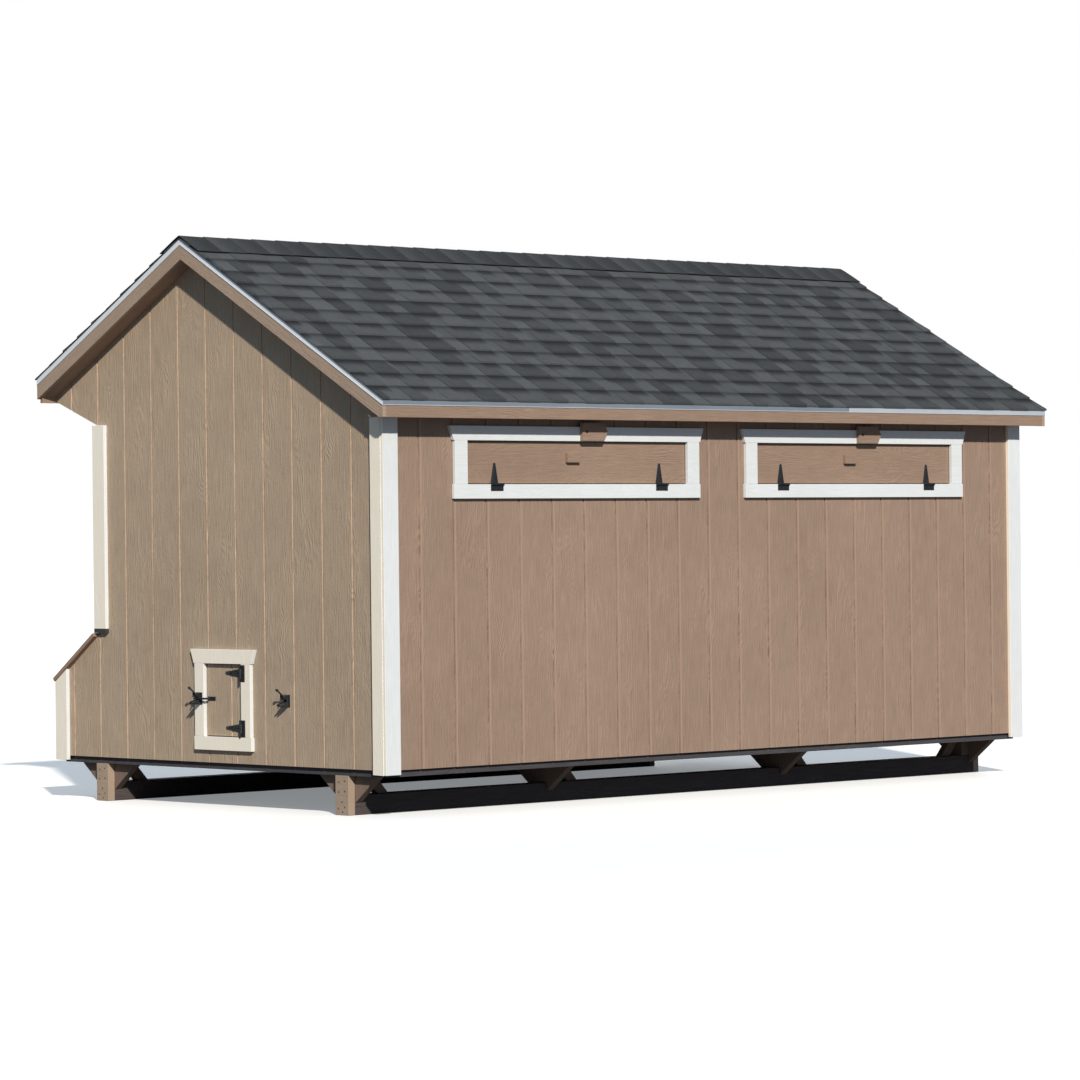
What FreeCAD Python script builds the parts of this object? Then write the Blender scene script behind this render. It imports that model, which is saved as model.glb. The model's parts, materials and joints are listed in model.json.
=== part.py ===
import FreeCAD, Part
import Sketcher
import os
from types import SimpleNamespace

# Timber poultry house on two skids: a fourteen foot room with a gable roof, a flush nest bump-out along
# the front, two drop-down vents in the rear wall, a small bird door in one gable and a person's door in
# the other.
#
# Everything is drawn in house coordinates: x runs from the near gable's siding face, y from the rear
# wall's siding face towards the nests, and z up from the ground. Every finished piece then gets the same
# Placement, which moves the origin under the middle of the roof.

os.makedirs("parts", exist_ok=True)
doc = FreeCAD.newDocument("poultry_house")


# ---- Driving dimensions, in millimetres ------------------------------------------------------------

SIZES = {
    # overall
    "house_length": 4267.2,
    "room_depth": 2047.2,
    "nest_depth": 309.9,
    "ridge_y": 1282.7,
    "ridge_z": 2620.0,
    "roof_pitch": 0.555,
    "rear_overhang": 116.8,
    "front_overhang": 337.8,
    "gable_overhang": 101.6,
    # skids and what holds the floor on them
    "skid_size": 88.9,
    "rear_skid_y": 275.6,
    "front_skid_inset": 342.9,
    "rear_skid_length": 4267.2,
    "front_skid_length": 3657.6,
    "skid_setback": 15.2,
    "station_two": 1231.9,
    "station_three": 2806.7,
    "front_station_three": 2413.0,
    "brace_foot": 35.0,
    "brace_reach": 158.8,
    "strut_reach": 132.0,
    "strut_foot": 64.0,
    # floor and framing timber
    "floor_z": 177.8,
    "lumber_t": 38.1,
    "lumber_w": 88.9,
    "joist_pitch": 609.6,
    "stud_pitch": 609.6,
    "deck_t": 15.9,
    "rear_seat_cut": 28.07,
    "front_seat_cut": 27.47,
    "nest_beam_z": 781.0,
    # siding
    "siding_t": 15.9,
    "siding_z": 208.3,
    "groove_first": 205.5,
    "gable_groove_first": 214.1,
    "groove_pitch": 203.2,
    "groove_w": 9.5,
    "groove_d": 4.0,
    # roof covering
    "roof_deck_t": 12.7,
    "soffit_t": 12.7,
    "fascia_t": 19.0,
    "rear_fascia_z": 1762.8,
    "front_fascia_z": 1896.1,
    "rafter_tail_gap": 5.0,
    "rake_width": 95.2,
    "front_soffit_z": 1780.5,
    "front_soffit_pitch": 0.381,
    "flashing_t": 1.0,
    "flashing_leg": 27.0,
    "flashing_flange": 50.0,
    "shingle_t": 9.0,
    "shingle_head_t": 4.5,
    "shingle_exposure": 127.0,
    "shingle_overhang": 7.6,
    "cap_reach": 140.0,
    "cap_t": 5.0,
    # trim boards
    "trim_t": 19.0,
    "trim_w": 88.9,
    "trim_z": 188.0,
    "front_trim_gap": 6.0,
    "casing_flare": 24.0,
    "casing_ear": 6.0,
    "stop_lap": 10.0,
    # rear wall vents
    "vent_x": 487.7,
    "vent_shift": 1874.5,
    "vent_w": 1402.1,
    "vent_z": 1470.7,
    "vent_h": 196.8,
    "vent_gap": 3.8,
    "vent_head_gap": 6.0,
    "vent_stile_w": 76.2,
    "vent_rail_h": 64.8,
    "vent_head_h": 66.0,
    "mesh_t": 2.0,
    "vent_hinge_inset": 176.5,
    "pull_w": 79.5,
    "pull_h": 43.2,
    "pull_z": 1569.7,
    "pull_inset": 620.8,
    "button_w": 82.0,
    "button_tail": 25.0,
    "button_reach": 134.0,
    "button_tip": 23.0,
    "button_inset": 724.0,
    "button_z": 1710.7,
    "button_screw_r": 2.5,
    "button_screw_head_r": 6.0,
    # hinges shared by vents and doors
    "barrel_r": 5.0,
    "pin_r": 2.5,
    "pin_play": 0.05,
    "leaf_t": 2.5,
    "leaf_w": 76.2,
    "leaf_h": 30.0,
    "strap_w": 46.0,
    "strap_tip_w": 12.0,
    "strap_reach": 96.0,
    "bird_strap_reach": 128.0,
    "door_strap_reach": 210.0,
    "knuckle_gap": 0.5,
    "barrel_clearance": 0.7,
    # bird door in the near gable
    "bird_door_y": 979.2,
    "bird_door_w": 268.0,
    "bird_door_z": 328.7,
    "bird_door_h": 336.0,
    "door_gap": 5.1,
    "bird_frame_w": 67.0,
    "bird_rail_h": 62.0,
    "bird_head_h": 66.0,
    "bird_hinge_inset": 42.0,
    "catch_z": 502.9,
    "catch_y": 1281.4,
    "catch_w": 48.3,
    "catch_depth": 51.0,
    "catch_h": 28.0,
    "pawl_pivot_out": 18.87,
    "pawl_pivot_up": 19.04,
    "pawl_w": 16.0,
    "pawl_length": 23.6,
    "pawl_lever": 50.0,
    "pawl_t": 5.0,
    "striker_play": 2.4,
    "striker_r": 4.6,
    "striker_post": 243.0,
    "striker_plate_h": 18.0,
    # person's door in the far gable
    "entry_y": 609.6,
    "entry_w": 812.8,
    "entry_z": 287.0,
    "entry_h": 1676.4,
    "entry_hinge_inset": 200.0,
    "bolt_z": 1140.0,
    "bolt_r": 6.0,
    "bolt_play": 0.6,
    "keeper_play": 1.5,
    "bolt_length": 170.0,
    "door_pull_drop": 140.0,
    "door_pull_span": 140.0,
    "pull_reach": 32.0,
    "pull_bar_r": 6.0,
    # nest boxes
    "lid_pitch": 0.7,
    "lid_t": 19.0,
    "lid_length": 383.5,
    "lid_axis_out": 10.2,
    "lid_axis_z": 810.3,
    "lid_standoff": 20.3,
    "lid_rise": 2.5,
    "lid_side_overhang": 25.4,
    "lid_gap": 5.0,
    "seat_gap": 0.3,
    "nest_pitch": 355.6,
    "nest_board_t": 12.7,
    "nest_lip_h": 101.6,
    "rubber_t": 4.0,
    # roosts
    "roost_z": 762.0,
    "roost_bar": 38.1,
    "roost_start": 500.0,
    "roost_length": 2300.0,
    "roost_depth": 960.0,
}

sheet = doc.addObject("Spreadsheet::Sheet", "sizes")
for row, (size_name, millimetres) in enumerate(SIZES.items(), start=1):
    sheet.set(f"A{row}", size_name)
    sheet.set(f"B{row}", str(millimetres))
    sheet.setAlias(f"B{row}", size_name)
doc.recompute()


class Size:
    """A length worked out from the sheet: its expression, and its value as the sheet stands."""

    def __init__(self, text, value):
        self.text = text
        self.value = value

    def _join(self, sign, other, value, swap=False):
        left, right = (text_of(other), self.text) if swap else (self.text, text_of(other))
        return Size(f"({left} {sign} {right})", value)

    def __add__(self, other):
        return self._join("+", other, self.value + value_of(other))

    def __radd__(self, other):
        return self._join("+", other, value_of(other) + self.value, swap=True)

    def __sub__(self, other):
        return self._join("-", other, self.value - value_of(other))

    def __rsub__(self, other):
        return self._join("-", other, value_of(other) - self.value, swap=True)

    def __mul__(self, other):
        return self._join("*", other, self.value * value_of(other))

    def __rmul__(self, other):
        return self._join("*", other, value_of(other) * self.value, swap=True)

    def __truediv__(self, other):
        return self._join("/", other, self.value / value_of(other))

    def __neg__(self):
        return Size(f"(0 - {self.text})", -self.value)


def text_of(size):
    return size.text if isinstance(size, Size) else f"{size:.9g}"


def value_of(size):
    return size.value if isinstance(size, Size) else float(size)


def sized(size):
    return size if isinstance(size, Size) else Size(text_of(size), value_of(size))


d = SimpleNamespace(**{name: Size(f"sizes.{name}", value) for name, value in SIZES.items()})


# ---- Building blocks -------------------------------------------------------------------------------

# Rotations that stand a sketch up: its own x and y become the two letters of the plane's name.
STAND = {
    "XY": (FreeCAD.Rotation(), FreeCAD.Vector(0, 0, 1), "z"),
    "YZ": (FreeCAD.Rotation(FreeCAD.Vector(1, 1, 1), 120), FreeCAD.Vector(1, 0, 0), "x"),
    "XZ": (FreeCAD.Rotation(FreeCAD.Vector(1, 0, 0), 90), FreeCAD.Vector(0, 1, 0), "y"),
}
counter = iter(range(1, 100000))


def new(kind, stem):
    return doc.addObject(kind, f"{stem}_{next(counter):04d}")


def bind(thing, prop, size):
    thing.setExpression(prop, text_of(size))


def box(x, y, z):
    """A square-cut board between the pairs x, y and z."""
    board = new("Part::Box", "board")
    for prop, axis, (low, high) in (("Length", "x", x), ("Width", "y", y), ("Height", "z", z)):
        bind(board, prop, sized(high) - low)
        bind(board, f"Placement.Base.{axis}", low)
    return board


def prism(plane, outline, start, end, holes=()):
    """A board whose outline lies in the plane and which runs from start to end across it."""
    rotation, direction, axis = STAND[plane]
    sketch = new("Sketcher::SketchObject", "outline")
    sketch.Placement = FreeCAD.Placement(FreeCAD.Vector(), rotation)
    bind(sketch, f"Placement.Base.{axis}", start)
    for loop in (outline, *holes):
        first = sketch.GeometryCount
        corners = [FreeCAD.Vector(value_of(u), value_of(v), 0) for u, v in loop]
        lines = [Part.LineSegment(a, b) for a, b in zip(corners, corners[1:] + corners[:1])]
        sketch.addGeometry(lines, False)
        for i, (u, v) in enumerate(loop):
            nxt = first + (i + 1) % len(loop)
            sketch.addConstraint(Sketcher.Constraint("Coincident", first + i, 2, nxt, 1))
            for kind, size in (("DistanceX", u), ("DistanceY", v)):
                held = Sketcher.Constraint(kind, -1, 1, first + i, 1, value_of(size))
                index = sketch.addConstraint(held)
                if isinstance(size, Size):
                    sketch.setExpression(f"Constraints[{index}]", text_of(size))
    board = new("Part::Extrusion", "prism")
    board.Base = sketch
    board.DirMode = "Custom"
    board.Dir = direction
    board.Solid = True
    bind(board, "LengthFwd", sized(end) - start)
    return board


def rod(axis, centre, radius, start, end):
    """A round bar along the axis letter, from start to end, centred on the other two coordinates."""
    turn = {
        "x": FreeCAD.Rotation(FreeCAD.Vector(0, 1, 0), 90),
        "y": FreeCAD.Rotation(FreeCAD.Vector(1, 0, 0), -90),
        "z": FreeCAD.Rotation(),
    }[axis]
    bar = new("Part::Cylinder", "rod")
    bar.Placement = FreeCAD.Placement(FreeCAD.Vector(), turn)
    bind(bar, "Radius", radius)
    bind(bar, "Height", sized(end) - start)
    places = dict(zip([letter for letter in "xyz" if letter != axis], centre))
    places[axis] = start
    for letter, size in places.items():
        bind(bar, f"Placement.Base.{letter}", size)
    return bar


def fuse(*shapes):
    joined = new("Part::MultiFuse", "fused")
    joined.Shapes = list(shapes)
    joined.Refine = True
    return joined


def cut(base, *tools):
    trimmed = new("Part::Cut", "trimmed")
    trimmed.Base = base
    trimmed.Tool = tools[0] if len(tools) == 1 else group_of(tools)
    return trimmed


def group_of(shapes):
    together = new("Part::Compound", "set")
    together.Links = list(shapes)
    return together


NODES = []


def node(label, *shapes):
    """Name a finished sub-part and move it from house coordinates to the part's own frame."""
    piece = group_of(shapes)
    piece.Label = label
    bind(piece, "Placement.Base.x", -d.house_length / 2)
    bind(piece, "Placement.Base.y", -(roof_front_tip + roof_rear_tip) / 2)
    NODES.append((piece, len(shapes)))


# ---- Levels and lines that several pieces share ----------------------------------------------------

SLOPE = Size("sqrt(1 + sizes.roof_pitch ^ 2)", (1 + SIZES["roof_pitch"] ** 2) ** 0.5)
LID_SLOPE = Size("sqrt(1 + sizes.lid_pitch ^ 2)", (1 + SIZES["lid_pitch"] ** 2) ** 0.5)

floor_depth = d.room_depth + d.nest_depth
deck_top = d.floor_z + d.lumber_w + d.deck_t
inner_face = d.siding_t + d.lumber_w
front_inner = d.room_depth - d.siding_t
rear_fascia_y = -d.rear_overhang
front_fascia_y = d.room_depth + d.front_overhang
roof_rear_tip = rear_fascia_y - d.shingle_overhang
roof_front_tip = front_fascia_y + d.shingle_overhang
roof_deck_drop = d.roof_deck_t * SLOPE
rafter_drop = roof_deck_drop + d.lumber_w * SLOPE
front_skid_y = floor_depth - d.front_skid_inset
lid_axis_y = d.room_depth + d.lid_axis_out
rake_outer = -d.gable_overhang
rake_inner = -d.gable_overhang + d.fascia_t


def rear_roof(y):
    """Height of the top of the roof boards over the rear slope."""
    return d.ridge_z - d.roof_pitch * (d.ridge_y - y)


def front_roof(y):
    """Height of the top of the roof boards over the front slope."""
    return d.ridge_z - d.roof_pitch * (y - d.ridge_y)


rear_plate_z = rear_roof(d.siding_t) - rafter_drop + d.rear_seat_cut
front_plate_z = front_roof(front_inner) - rafter_drop + d.front_seat_cut


def front_soffit(y):
    """Height of the underside of the sloping soffit in front of the front wall."""
    return d.front_soffit_z + d.front_soffit_pitch * (y - d.room_depth)


def lid_top(y):
    """Height of the nest lids' upper face."""
    return d.lid_axis_z - d.lid_rise * LID_SLOPE - d.lid_pitch * (y - lid_axis_y)


def lid_bed(y):
    """Height at which walls, trim and partitions stop under the nest lids."""
    return lid_top(y) - d.lid_t * LID_SLOPE - d.seat_gap


def along(start, end, pitch):
    """Places a pitch apart from start, short of end."""
    count = int((value_of(end) - value_of(start)) / value_of(pitch) + 1e-6)
    return [start + pitch * i for i in range(count + 1)]


def mirrored(pair):
    """A pair of x values carried over to the far gable."""
    return (d.house_length - pair[1], d.house_length - pair[0])


# ---- Skids, and what lifts the floor off them -------------------------------------------------------

def skid_line(y, length, middle_stations):
    """One skid with its end boards, post blocks and braces, as four lists of pieces."""
    start = d.skid_setback
    end = start + length
    across = (y, y + d.skid_size)
    timber = [box((start + d.lumber_t, end - d.lumber_t), across, (0, d.skid_size))]
    ends = [
        box((start, start + d.lumber_t), across, (0, d.floor_z)),
        box((end - d.lumber_t, end), across, (0, d.floor_z)),
    ]
    posts = []
    braces = []
    foot = d.skid_size - d.brace_foot
    shoulder = foot + d.lumber_w * 1.27
    run = d.brace_reach / (d.floor_z - foot)
    stations = [start + d.lumber_t, *middle_stations, end - d.lumber_t - d.skid_size]
    for number, x in enumerate(stations):
        posts.append(box((x, x + d.skid_size), across, (d.skid_size, d.floor_z)))
        last = number == len(stations) - 1
        side = (x + d.skid_size - d.lumber_t, x + d.skid_size) if last else (x, x + d.lumber_t)
        for face, way in ((y, -1), (y + d.skid_size, 1)):
            section = [
                (face, foot),
                (face, shoulder),
                (face + way * (run * (d.floor_z - shoulder)), d.floor_z),
                (face + way * d.brace_reach, d.floor_z),
            ]
            braces.append(prism("YZ", section, *side))
        face, way = (x, -1) if last else (x + d.skid_size, 1)
        strut = [
            (face, d.floor_z),
            (face + way * (d.strut_reach - d.strut_foot) * 0.75, d.floor_z),
            (face + way * d.strut_reach, d.skid_size),
            (face + way * (d.strut_reach - d.strut_foot), d.skid_size),
            (face, d.floor_z - d.strut_foot * 0.3),
        ]
        middle = y + (d.skid_size - d.lumber_t) / 2
        braces.append(prism("XZ", strut, middle, middle + d.lumber_t))
    return timber, ends, posts, braces


rear_line = skid_line(d.rear_skid_y, d.rear_skid_length, [d.station_two, d.station_three])
front_line = skid_line(front_skid_y, d.front_skid_length, [d.station_two, d.front_station_three])
for label, rear_pieces, front_pieces in zip(
    ("skids", "skid_end_boards", "skid_posts", "skid_braces"), rear_line, front_line
):
    node(label, *rear_pieces, *front_pieces)


# ---- Floor ------------------------------------------------------------------------------------------

floor_x = (d.siding_t, d.house_length - d.siding_t)
floor_y = (d.siding_t, floor_depth - d.siding_t)
joist_z = (d.floor_z, d.floor_z + d.lumber_w)
joist_y = (floor_y[0] + d.lumber_t, floor_y[1] - d.lumber_t)

node(
    "floor_frame",
    box(floor_x, (floor_y[0], joist_y[0]), joist_z),
    box(floor_x, (joist_y[1], floor_y[1]), joist_z),
    box((floor_x[0], floor_x[0] + d.lumber_t), joist_y, joist_z),
    box((floor_x[1] - d.lumber_t, floor_x[1]), joist_y, joist_z),
    *[
        box((x, x + d.lumber_t), joist_y, joist_z)
        for x in along(d.joist_pitch, d.house_length - d.joist_pitch, d.joist_pitch)
    ],
)
node("floor_deck", box(floor_x, floor_y, (joist_z[1], deck_top)))


# ---- Openings in the walls --------------------------------------------------------------------------

vents = [
    (d.vent_x + d.vent_shift * i, d.vent_x + d.vent_shift * i + d.vent_w) for i in range(2)
]
vent_z = (d.vent_z, d.vent_z + d.vent_h)
bird_y = (d.bird_door_y, d.bird_door_y + d.bird_door_w)
bird_z = (d.bird_door_z, d.bird_door_z + d.bird_door_h)
entry_y = (d.entry_y, d.entry_y + d.entry_w)
entry_z = (d.entry_z, d.entry_z + d.entry_h)


# ---- Wall framing -----------------------------------------------------------------------------------

def studs(places, y, z):
    return [box((x, x + d.lumber_t), y, z) for x in places]


plate_top = deck_top + d.lumber_t
rear_stud_y = (d.siding_t, inner_face)
rear_top = (rear_plate_z - d.lumber_t, rear_plate_z)
rear_stud_z = (plate_top, rear_top[0])
rear_frame = [
    box(floor_x, rear_stud_y, (deck_top, plate_top)),
    box(floor_x, rear_stud_y, rear_top),
]
rear_frame += studs((floor_x[0], floor_x[1] - d.lumber_t), rear_stud_y, rear_stud_z)
for vent in vents:
    clear = (vent[0] + d.stop_lap, vent[1] - d.stop_lap)
    sill_z = (vent_z[0] + d.stop_lap - d.lumber_t, vent_z[0] + d.stop_lap)
    rear_frame += studs((clear[0] - d.lumber_t, clear[1]), rear_stud_y, rear_stud_z)
    rear_frame.append(box(clear, rear_stud_y, sill_z))
    rear_frame.append(box(clear, rear_stud_y, (vent_z[1] - d.stop_lap, rear_top[0])))
    cripples = along(clear[0] + d.stud_pitch / 2, clear[1] - d.lumber_t, d.stud_pitch)
    rear_frame += studs(cripples, rear_stud_y, (plate_top, sill_z[0]))
node("rear_wall_frame", *rear_frame)

front_stud_y = (front_inner - d.lumber_w, front_inner)
beam_top = d.nest_beam_z + d.lumber_w
front_top = (front_plate_z - d.lumber_t, front_plate_z)
front_frame = [
    box(floor_x, front_stud_y, (d.nest_beam_z, beam_top)),
    box(floor_x, front_stud_y, front_top),
]
front_frame += studs(
    along(floor_x[0], floor_x[1] - d.lumber_t, (floor_x[1] - floor_x[0] - d.lumber_t) / 7),
    front_stud_y,
    (beam_top, front_top[0]),
)
front_frame += studs((floor_x[0], floor_x[1] - d.lumber_t), front_stud_y, (deck_top, d.nest_beam_z))
node("front_wall_frame", *front_frame)


def gable_stud(y, x, base):
    """An upright under the end rafters, its top cut to the roof's slope."""
    rear = value_of(y) + SIZES["lumber_t"] / 2 < SIZES["ridge_y"]
    roof = rear_roof if rear else front_roof
    far = y + d.lumber_t
    top = [(far, roof(far) - rafter_drop), (y, roof(y) - rafter_drop)]
    return prism("YZ", [(y, base), (far, base), *top], *x)


def gable_frame(x, opening_y, opening_z, free_studs):
    """Bottom plate, uprights, and the rough opening that a door closes against."""
    clear = (opening_y[0] + d.stop_lap, opening_y[1] - d.stop_lap)
    between = (inner_face, front_stud_y[0])
    pieces = []
    if value_of(opening_z[0]) > value_of(plate_top):
        pieces.append(box(x, between, (deck_top, plate_top)))
        pieces.append(box(x, clear, (plate_top, opening_z[0] + d.stop_lap)))
    else:
        pieces.append(box(x, (between[0], clear[0] - d.lumber_t), (deck_top, plate_top)))
        pieces.append(box(x, (clear[1] + d.lumber_t, between[1]), (deck_top, plate_top)))
    header = (opening_z[1] - d.stop_lap, opening_z[1] - d.stop_lap + d.lumber_w)
    pieces.append(box(x, clear, header))
    base = plate_top if value_of(opening_z[0]) > value_of(plate_top) else deck_top
    pieces += [gable_stud(y, x, base) for y in (clear[0] - d.lumber_t, clear[1])]
    pieces += [gable_stud(y, x, plate_top) for y in free_studs]
    return pieces


near_frame_x = (d.siding_t, inner_face)
far_frame_x = mirrored(near_frame_x)
near_studs = (d.stud_pitch - d.lumber_t, bird_y[1] + d.stud_pitch / 2)
far_studs = (d.stud_pitch / 2, entry_y[1] + d.stud_pitch / 2)
node(
    "gable_frames",
    *gable_frame(near_frame_x, bird_y, bird_z, near_studs),
    *gable_frame(far_frame_x, entry_y, entry_z, far_studs),
)


# ---- Siding -----------------------------------------------------------------------------------------

def grooves(places, make):
    return [make((place - d.groove_w / 2, place + d.groove_w / 2)) for place in places]


def long_grooves(outer_y, inward, z):
    """Grooves in a long wall's face at outer_y, cut towards the side that inward points to."""
    reach = (outer_y - 1, outer_y + d.groove_d) if inward > 0 else (outer_y - d.groove_d, outer_y + 1)
    places = along(d.groove_first, floor_x[1] - d.groove_w, d.groove_pitch)
    return grooves(places, lambda x: box(x, reach, z))


rear_siding_z = (d.siding_z, d.rear_fascia_z + d.soffit_t + 5)
rear_siding = cut(
    box(floor_x, (0, d.siding_t), rear_siding_z),
    *[box(vent, (-1, d.siding_t + 1), vent_z) for vent in vents],
    *long_grooves(0, 1, (d.siding_z - 1, rear_siding_z[1] + 1)),
)
node("rear_siding", rear_siding)

front_siding_z = (d.nest_beam_z, front_soffit(d.room_depth) + d.soffit_t)
node("front_siding", cut(
    box(floor_x, (front_inner, d.room_depth), front_siding_z),
    *long_grooves(d.room_depth, -1, (front_siding_z[0] - 1, front_siding_z[1] + 1)),
))

nest_inner = floor_depth - d.siding_t
nest_siding = [
    (nest_inner, d.siding_z),
    (floor_depth, d.siding_z),
    (floor_depth, lid_bed(floor_depth)),
    (nest_inner, lid_bed(nest_inner)),
]
node("nest_siding", cut(
    prism("YZ", nest_siding, *floor_x),
    *long_grooves(floor_depth, -1, (d.siding_z - 1, d.lid_axis_z)),
))

nest_wall_y = d.room_depth
roof_under = roof_deck_drop + d.seat_gap
soffit_out = front_fascia_y - d.fascia_t
gable_outline = [
    (0, d.siding_z),
    (floor_depth, d.siding_z),
    (floor_depth, lid_bed(floor_depth)),
    (nest_wall_y, lid_bed(nest_wall_y)),
    (nest_wall_y, front_soffit(nest_wall_y)),
    (soffit_out, front_soffit(soffit_out)),
    (soffit_out, front_roof(soffit_out) - roof_under),
    (d.ridge_y, d.ridge_z - roof_under),
    (0, rear_roof(0) - roof_under),
]


def rectangle(u, v):
    return [(u[0], v[0]), (u[1], v[0]), (u[1], v[1]), (u[0], v[1])]


def gable_siding(x, outer_groove, opening):
    places = along(d.gable_groove_first, floor_depth, d.groove_pitch)
    through = (d.siding_z - 1, d.ridge_z)
    return cut(
        prism("YZ", gable_outline, *x, holes=[rectangle(*opening)]),
        *grooves(places, lambda y: box(outer_groove, y, through)),
    )


near_siding_x = (0, d.siding_t)
far_siding_x = mirrored(near_siding_x)
near_groove = (-1, d.groove_d)
far_groove = (d.house_length - d.groove_d, d.house_length + 1)
node("near_gable_siding", gable_siding(near_siding_x, near_groove, (bird_y, bird_z)))
node("far_gable_siding", gable_siding(far_siding_x, far_groove, (entry_y, entry_z)))


# ---- Roof structure ---------------------------------------------------------------------------------

rear_tail = rear_fascia_y + d.fascia_t
front_tail = front_fascia_y - d.fascia_t
tail_z = d.rear_fascia_z + d.soffit_t + d.rafter_tail_gap
ridge_half = d.fascia_t / 2


def crossing(height):
    """Distance from the ridge at which the rafters' underside stands at a height."""
    return (d.ridge_z - rafter_drop - height) / d.roof_pitch


rear_rafter = [
    (rear_tail, tail_z),
    (d.siding_t, tail_z),
    (d.siding_t, rear_plate_z),
    (d.ridge_y - crossing(rear_plate_z), rear_plate_z),
    (d.ridge_y - ridge_half, rear_roof(d.ridge_y - ridge_half) - rafter_drop),
    (d.ridge_y - ridge_half, rear_roof(d.ridge_y - ridge_half) - roof_deck_drop),
    (rear_tail, rear_roof(rear_tail) - roof_deck_drop),
]
tail_cut = front_tail - d.lumber_t
front_rafter = [
    (front_tail, front_roof(front_tail) - roof_deck_drop),
    (front_tail, front_soffit(front_tail) + d.soffit_t),
    (tail_cut, front_soffit(tail_cut) + d.soffit_t),
    (tail_cut, front_roof(tail_cut) - rafter_drop),
    (front_inner, front_roof(front_inner) - rafter_drop),
    (front_inner, front_plate_z),
    (d.ridge_y + crossing(front_plate_z), front_plate_z),
    (d.ridge_y + ridge_half, front_roof(d.ridge_y + ridge_half) - rafter_drop),
    (d.ridge_y + ridge_half, front_roof(d.ridge_y + ridge_half) - roof_deck_drop),
]
rafter_places = along(floor_x[0], floor_x[1] - d.lumber_t, (floor_x[1] - floor_x[0] - d.lumber_t) / 7)
node("rafters", *[
    prism("YZ", rafter, x, x + d.lumber_t) for x in rafter_places for rafter in (rear_rafter, front_rafter)
])

ridge_under = rear_roof(d.ridge_y - ridge_half) - roof_deck_drop
ridge_y = (d.ridge_y - ridge_half, d.ridge_y + ridge_half)
node("ridge_board", box(floor_x, ridge_y, (ridge_under - d.lumber_w, ridge_under)))

roof_x = (rake_inner, d.house_length - rake_inner)


def slab(roof, y, thickness, x, above=0):
    """A sheet of even thickness on a slope, its underside a small height above the roof boards' top."""
    low = above
    high = above + thickness * SLOPE
    outline = [
        (y[0], roof(y[0]) + low),
        (y[1], roof(y[1]) + low),
        (y[1], roof(y[1]) + high),
        (y[0], roof(y[0]) + high),
    ]
    return prism("YZ", outline, *x)


node("rear_roof_deck", slab(rear_roof, (rear_tail, d.ridge_y), d.roof_deck_t, roof_x, -roof_deck_drop))
node("front_roof_deck", slab(front_roof, (d.ridge_y, front_tail), d.roof_deck_t, roof_x, -roof_deck_drop))


# ---- Eaves and rakes --------------------------------------------------------------------------------

rear_fascia = [
    (rear_fascia_y, d.rear_fascia_z),
    (rear_tail, d.rear_fascia_z),
    (rear_tail, rear_roof(rear_tail)),
    (rear_fascia_y, rear_roof(rear_fascia_y)),
]
front_fascia = [
    (front_tail, d.front_fascia_z),
    (front_fascia_y, d.front_fascia_z),
    (front_fascia_y, front_roof(front_fascia_y)),
    (front_tail, front_roof(front_tail)),
]
node("fascias", *[prism("YZ", fascia, *roof_x) for fascia in (rear_fascia, front_fascia)])

rear_soffit_z = (d.rear_fascia_z + 5, d.rear_fascia_z + 5 + d.soffit_t)
rear_soffit = box((rake_inner, d.house_length - rake_inner), (rear_tail, 0), rear_soffit_z)
front_soffit_board = prism("YZ", [
    (d.room_depth, front_soffit(d.room_depth)),
    (front_tail, front_soffit(front_tail)),
    (front_tail, front_soffit(front_tail) + d.soffit_t),
    (d.room_depth, front_soffit(d.room_depth) + d.soffit_t),
], *floor_x)

rake_drop = d.rake_width
level_cut = d.ridge_y - (d.ridge_z - rake_drop - d.rear_fascia_z) / d.roof_pitch
rear_rake = [
    (rear_fascia_y, rear_roof(rear_fascia_y)),
    (rear_fascia_y, d.rear_fascia_z),
    (level_cut, d.rear_fascia_z),
    (d.ridge_y, d.ridge_z - rake_drop),
    (d.ridge_y, d.ridge_z),
]
front_rake = [
    (d.ridge_y, d.ridge_z),
    (d.ridge_y, d.ridge_z - rake_drop),
    (front_fascia_y, front_roof(front_fascia_y) - rake_drop),
    (front_fascia_y, front_roof(front_fascia_y)),
]
near_rake_x = (rake_outer, rake_inner)
far_rake_x = mirrored(near_rake_x)
node("rake_boards", *[
    prism("YZ", rake, *x) for x in (near_rake_x, far_rake_x) for rake in (rear_rake, front_rake)
])


def rake_soffit(roof, y, x):
    """A board closing the space between a rake board and the gable, level with the rake's lower edge."""
    return slab(roof, y, d.soffit_t, x, -rake_drop)


near_soffit_x = (rake_inner, 0)
far_soffit_x = mirrored(near_soffit_x)
rake_soffit_start = d.ridge_y - (d.ridge_z - rake_drop - rear_soffit_z[1]) / d.roof_pitch
node("soffits", rear_soffit, front_soffit_board, *[
    rake_soffit(roof, y, x)
    for x in (near_soffit_x, far_soffit_x)
    for roof, y in (
        (rear_roof, (rake_soffit_start, d.ridge_y)),
        (front_roof, (d.ridge_y, front_tail)),
    )
])


# ---- Metal roof edging ------------------------------------------------------------------------------

flashing_rise = d.flashing_t * SLOPE


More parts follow.
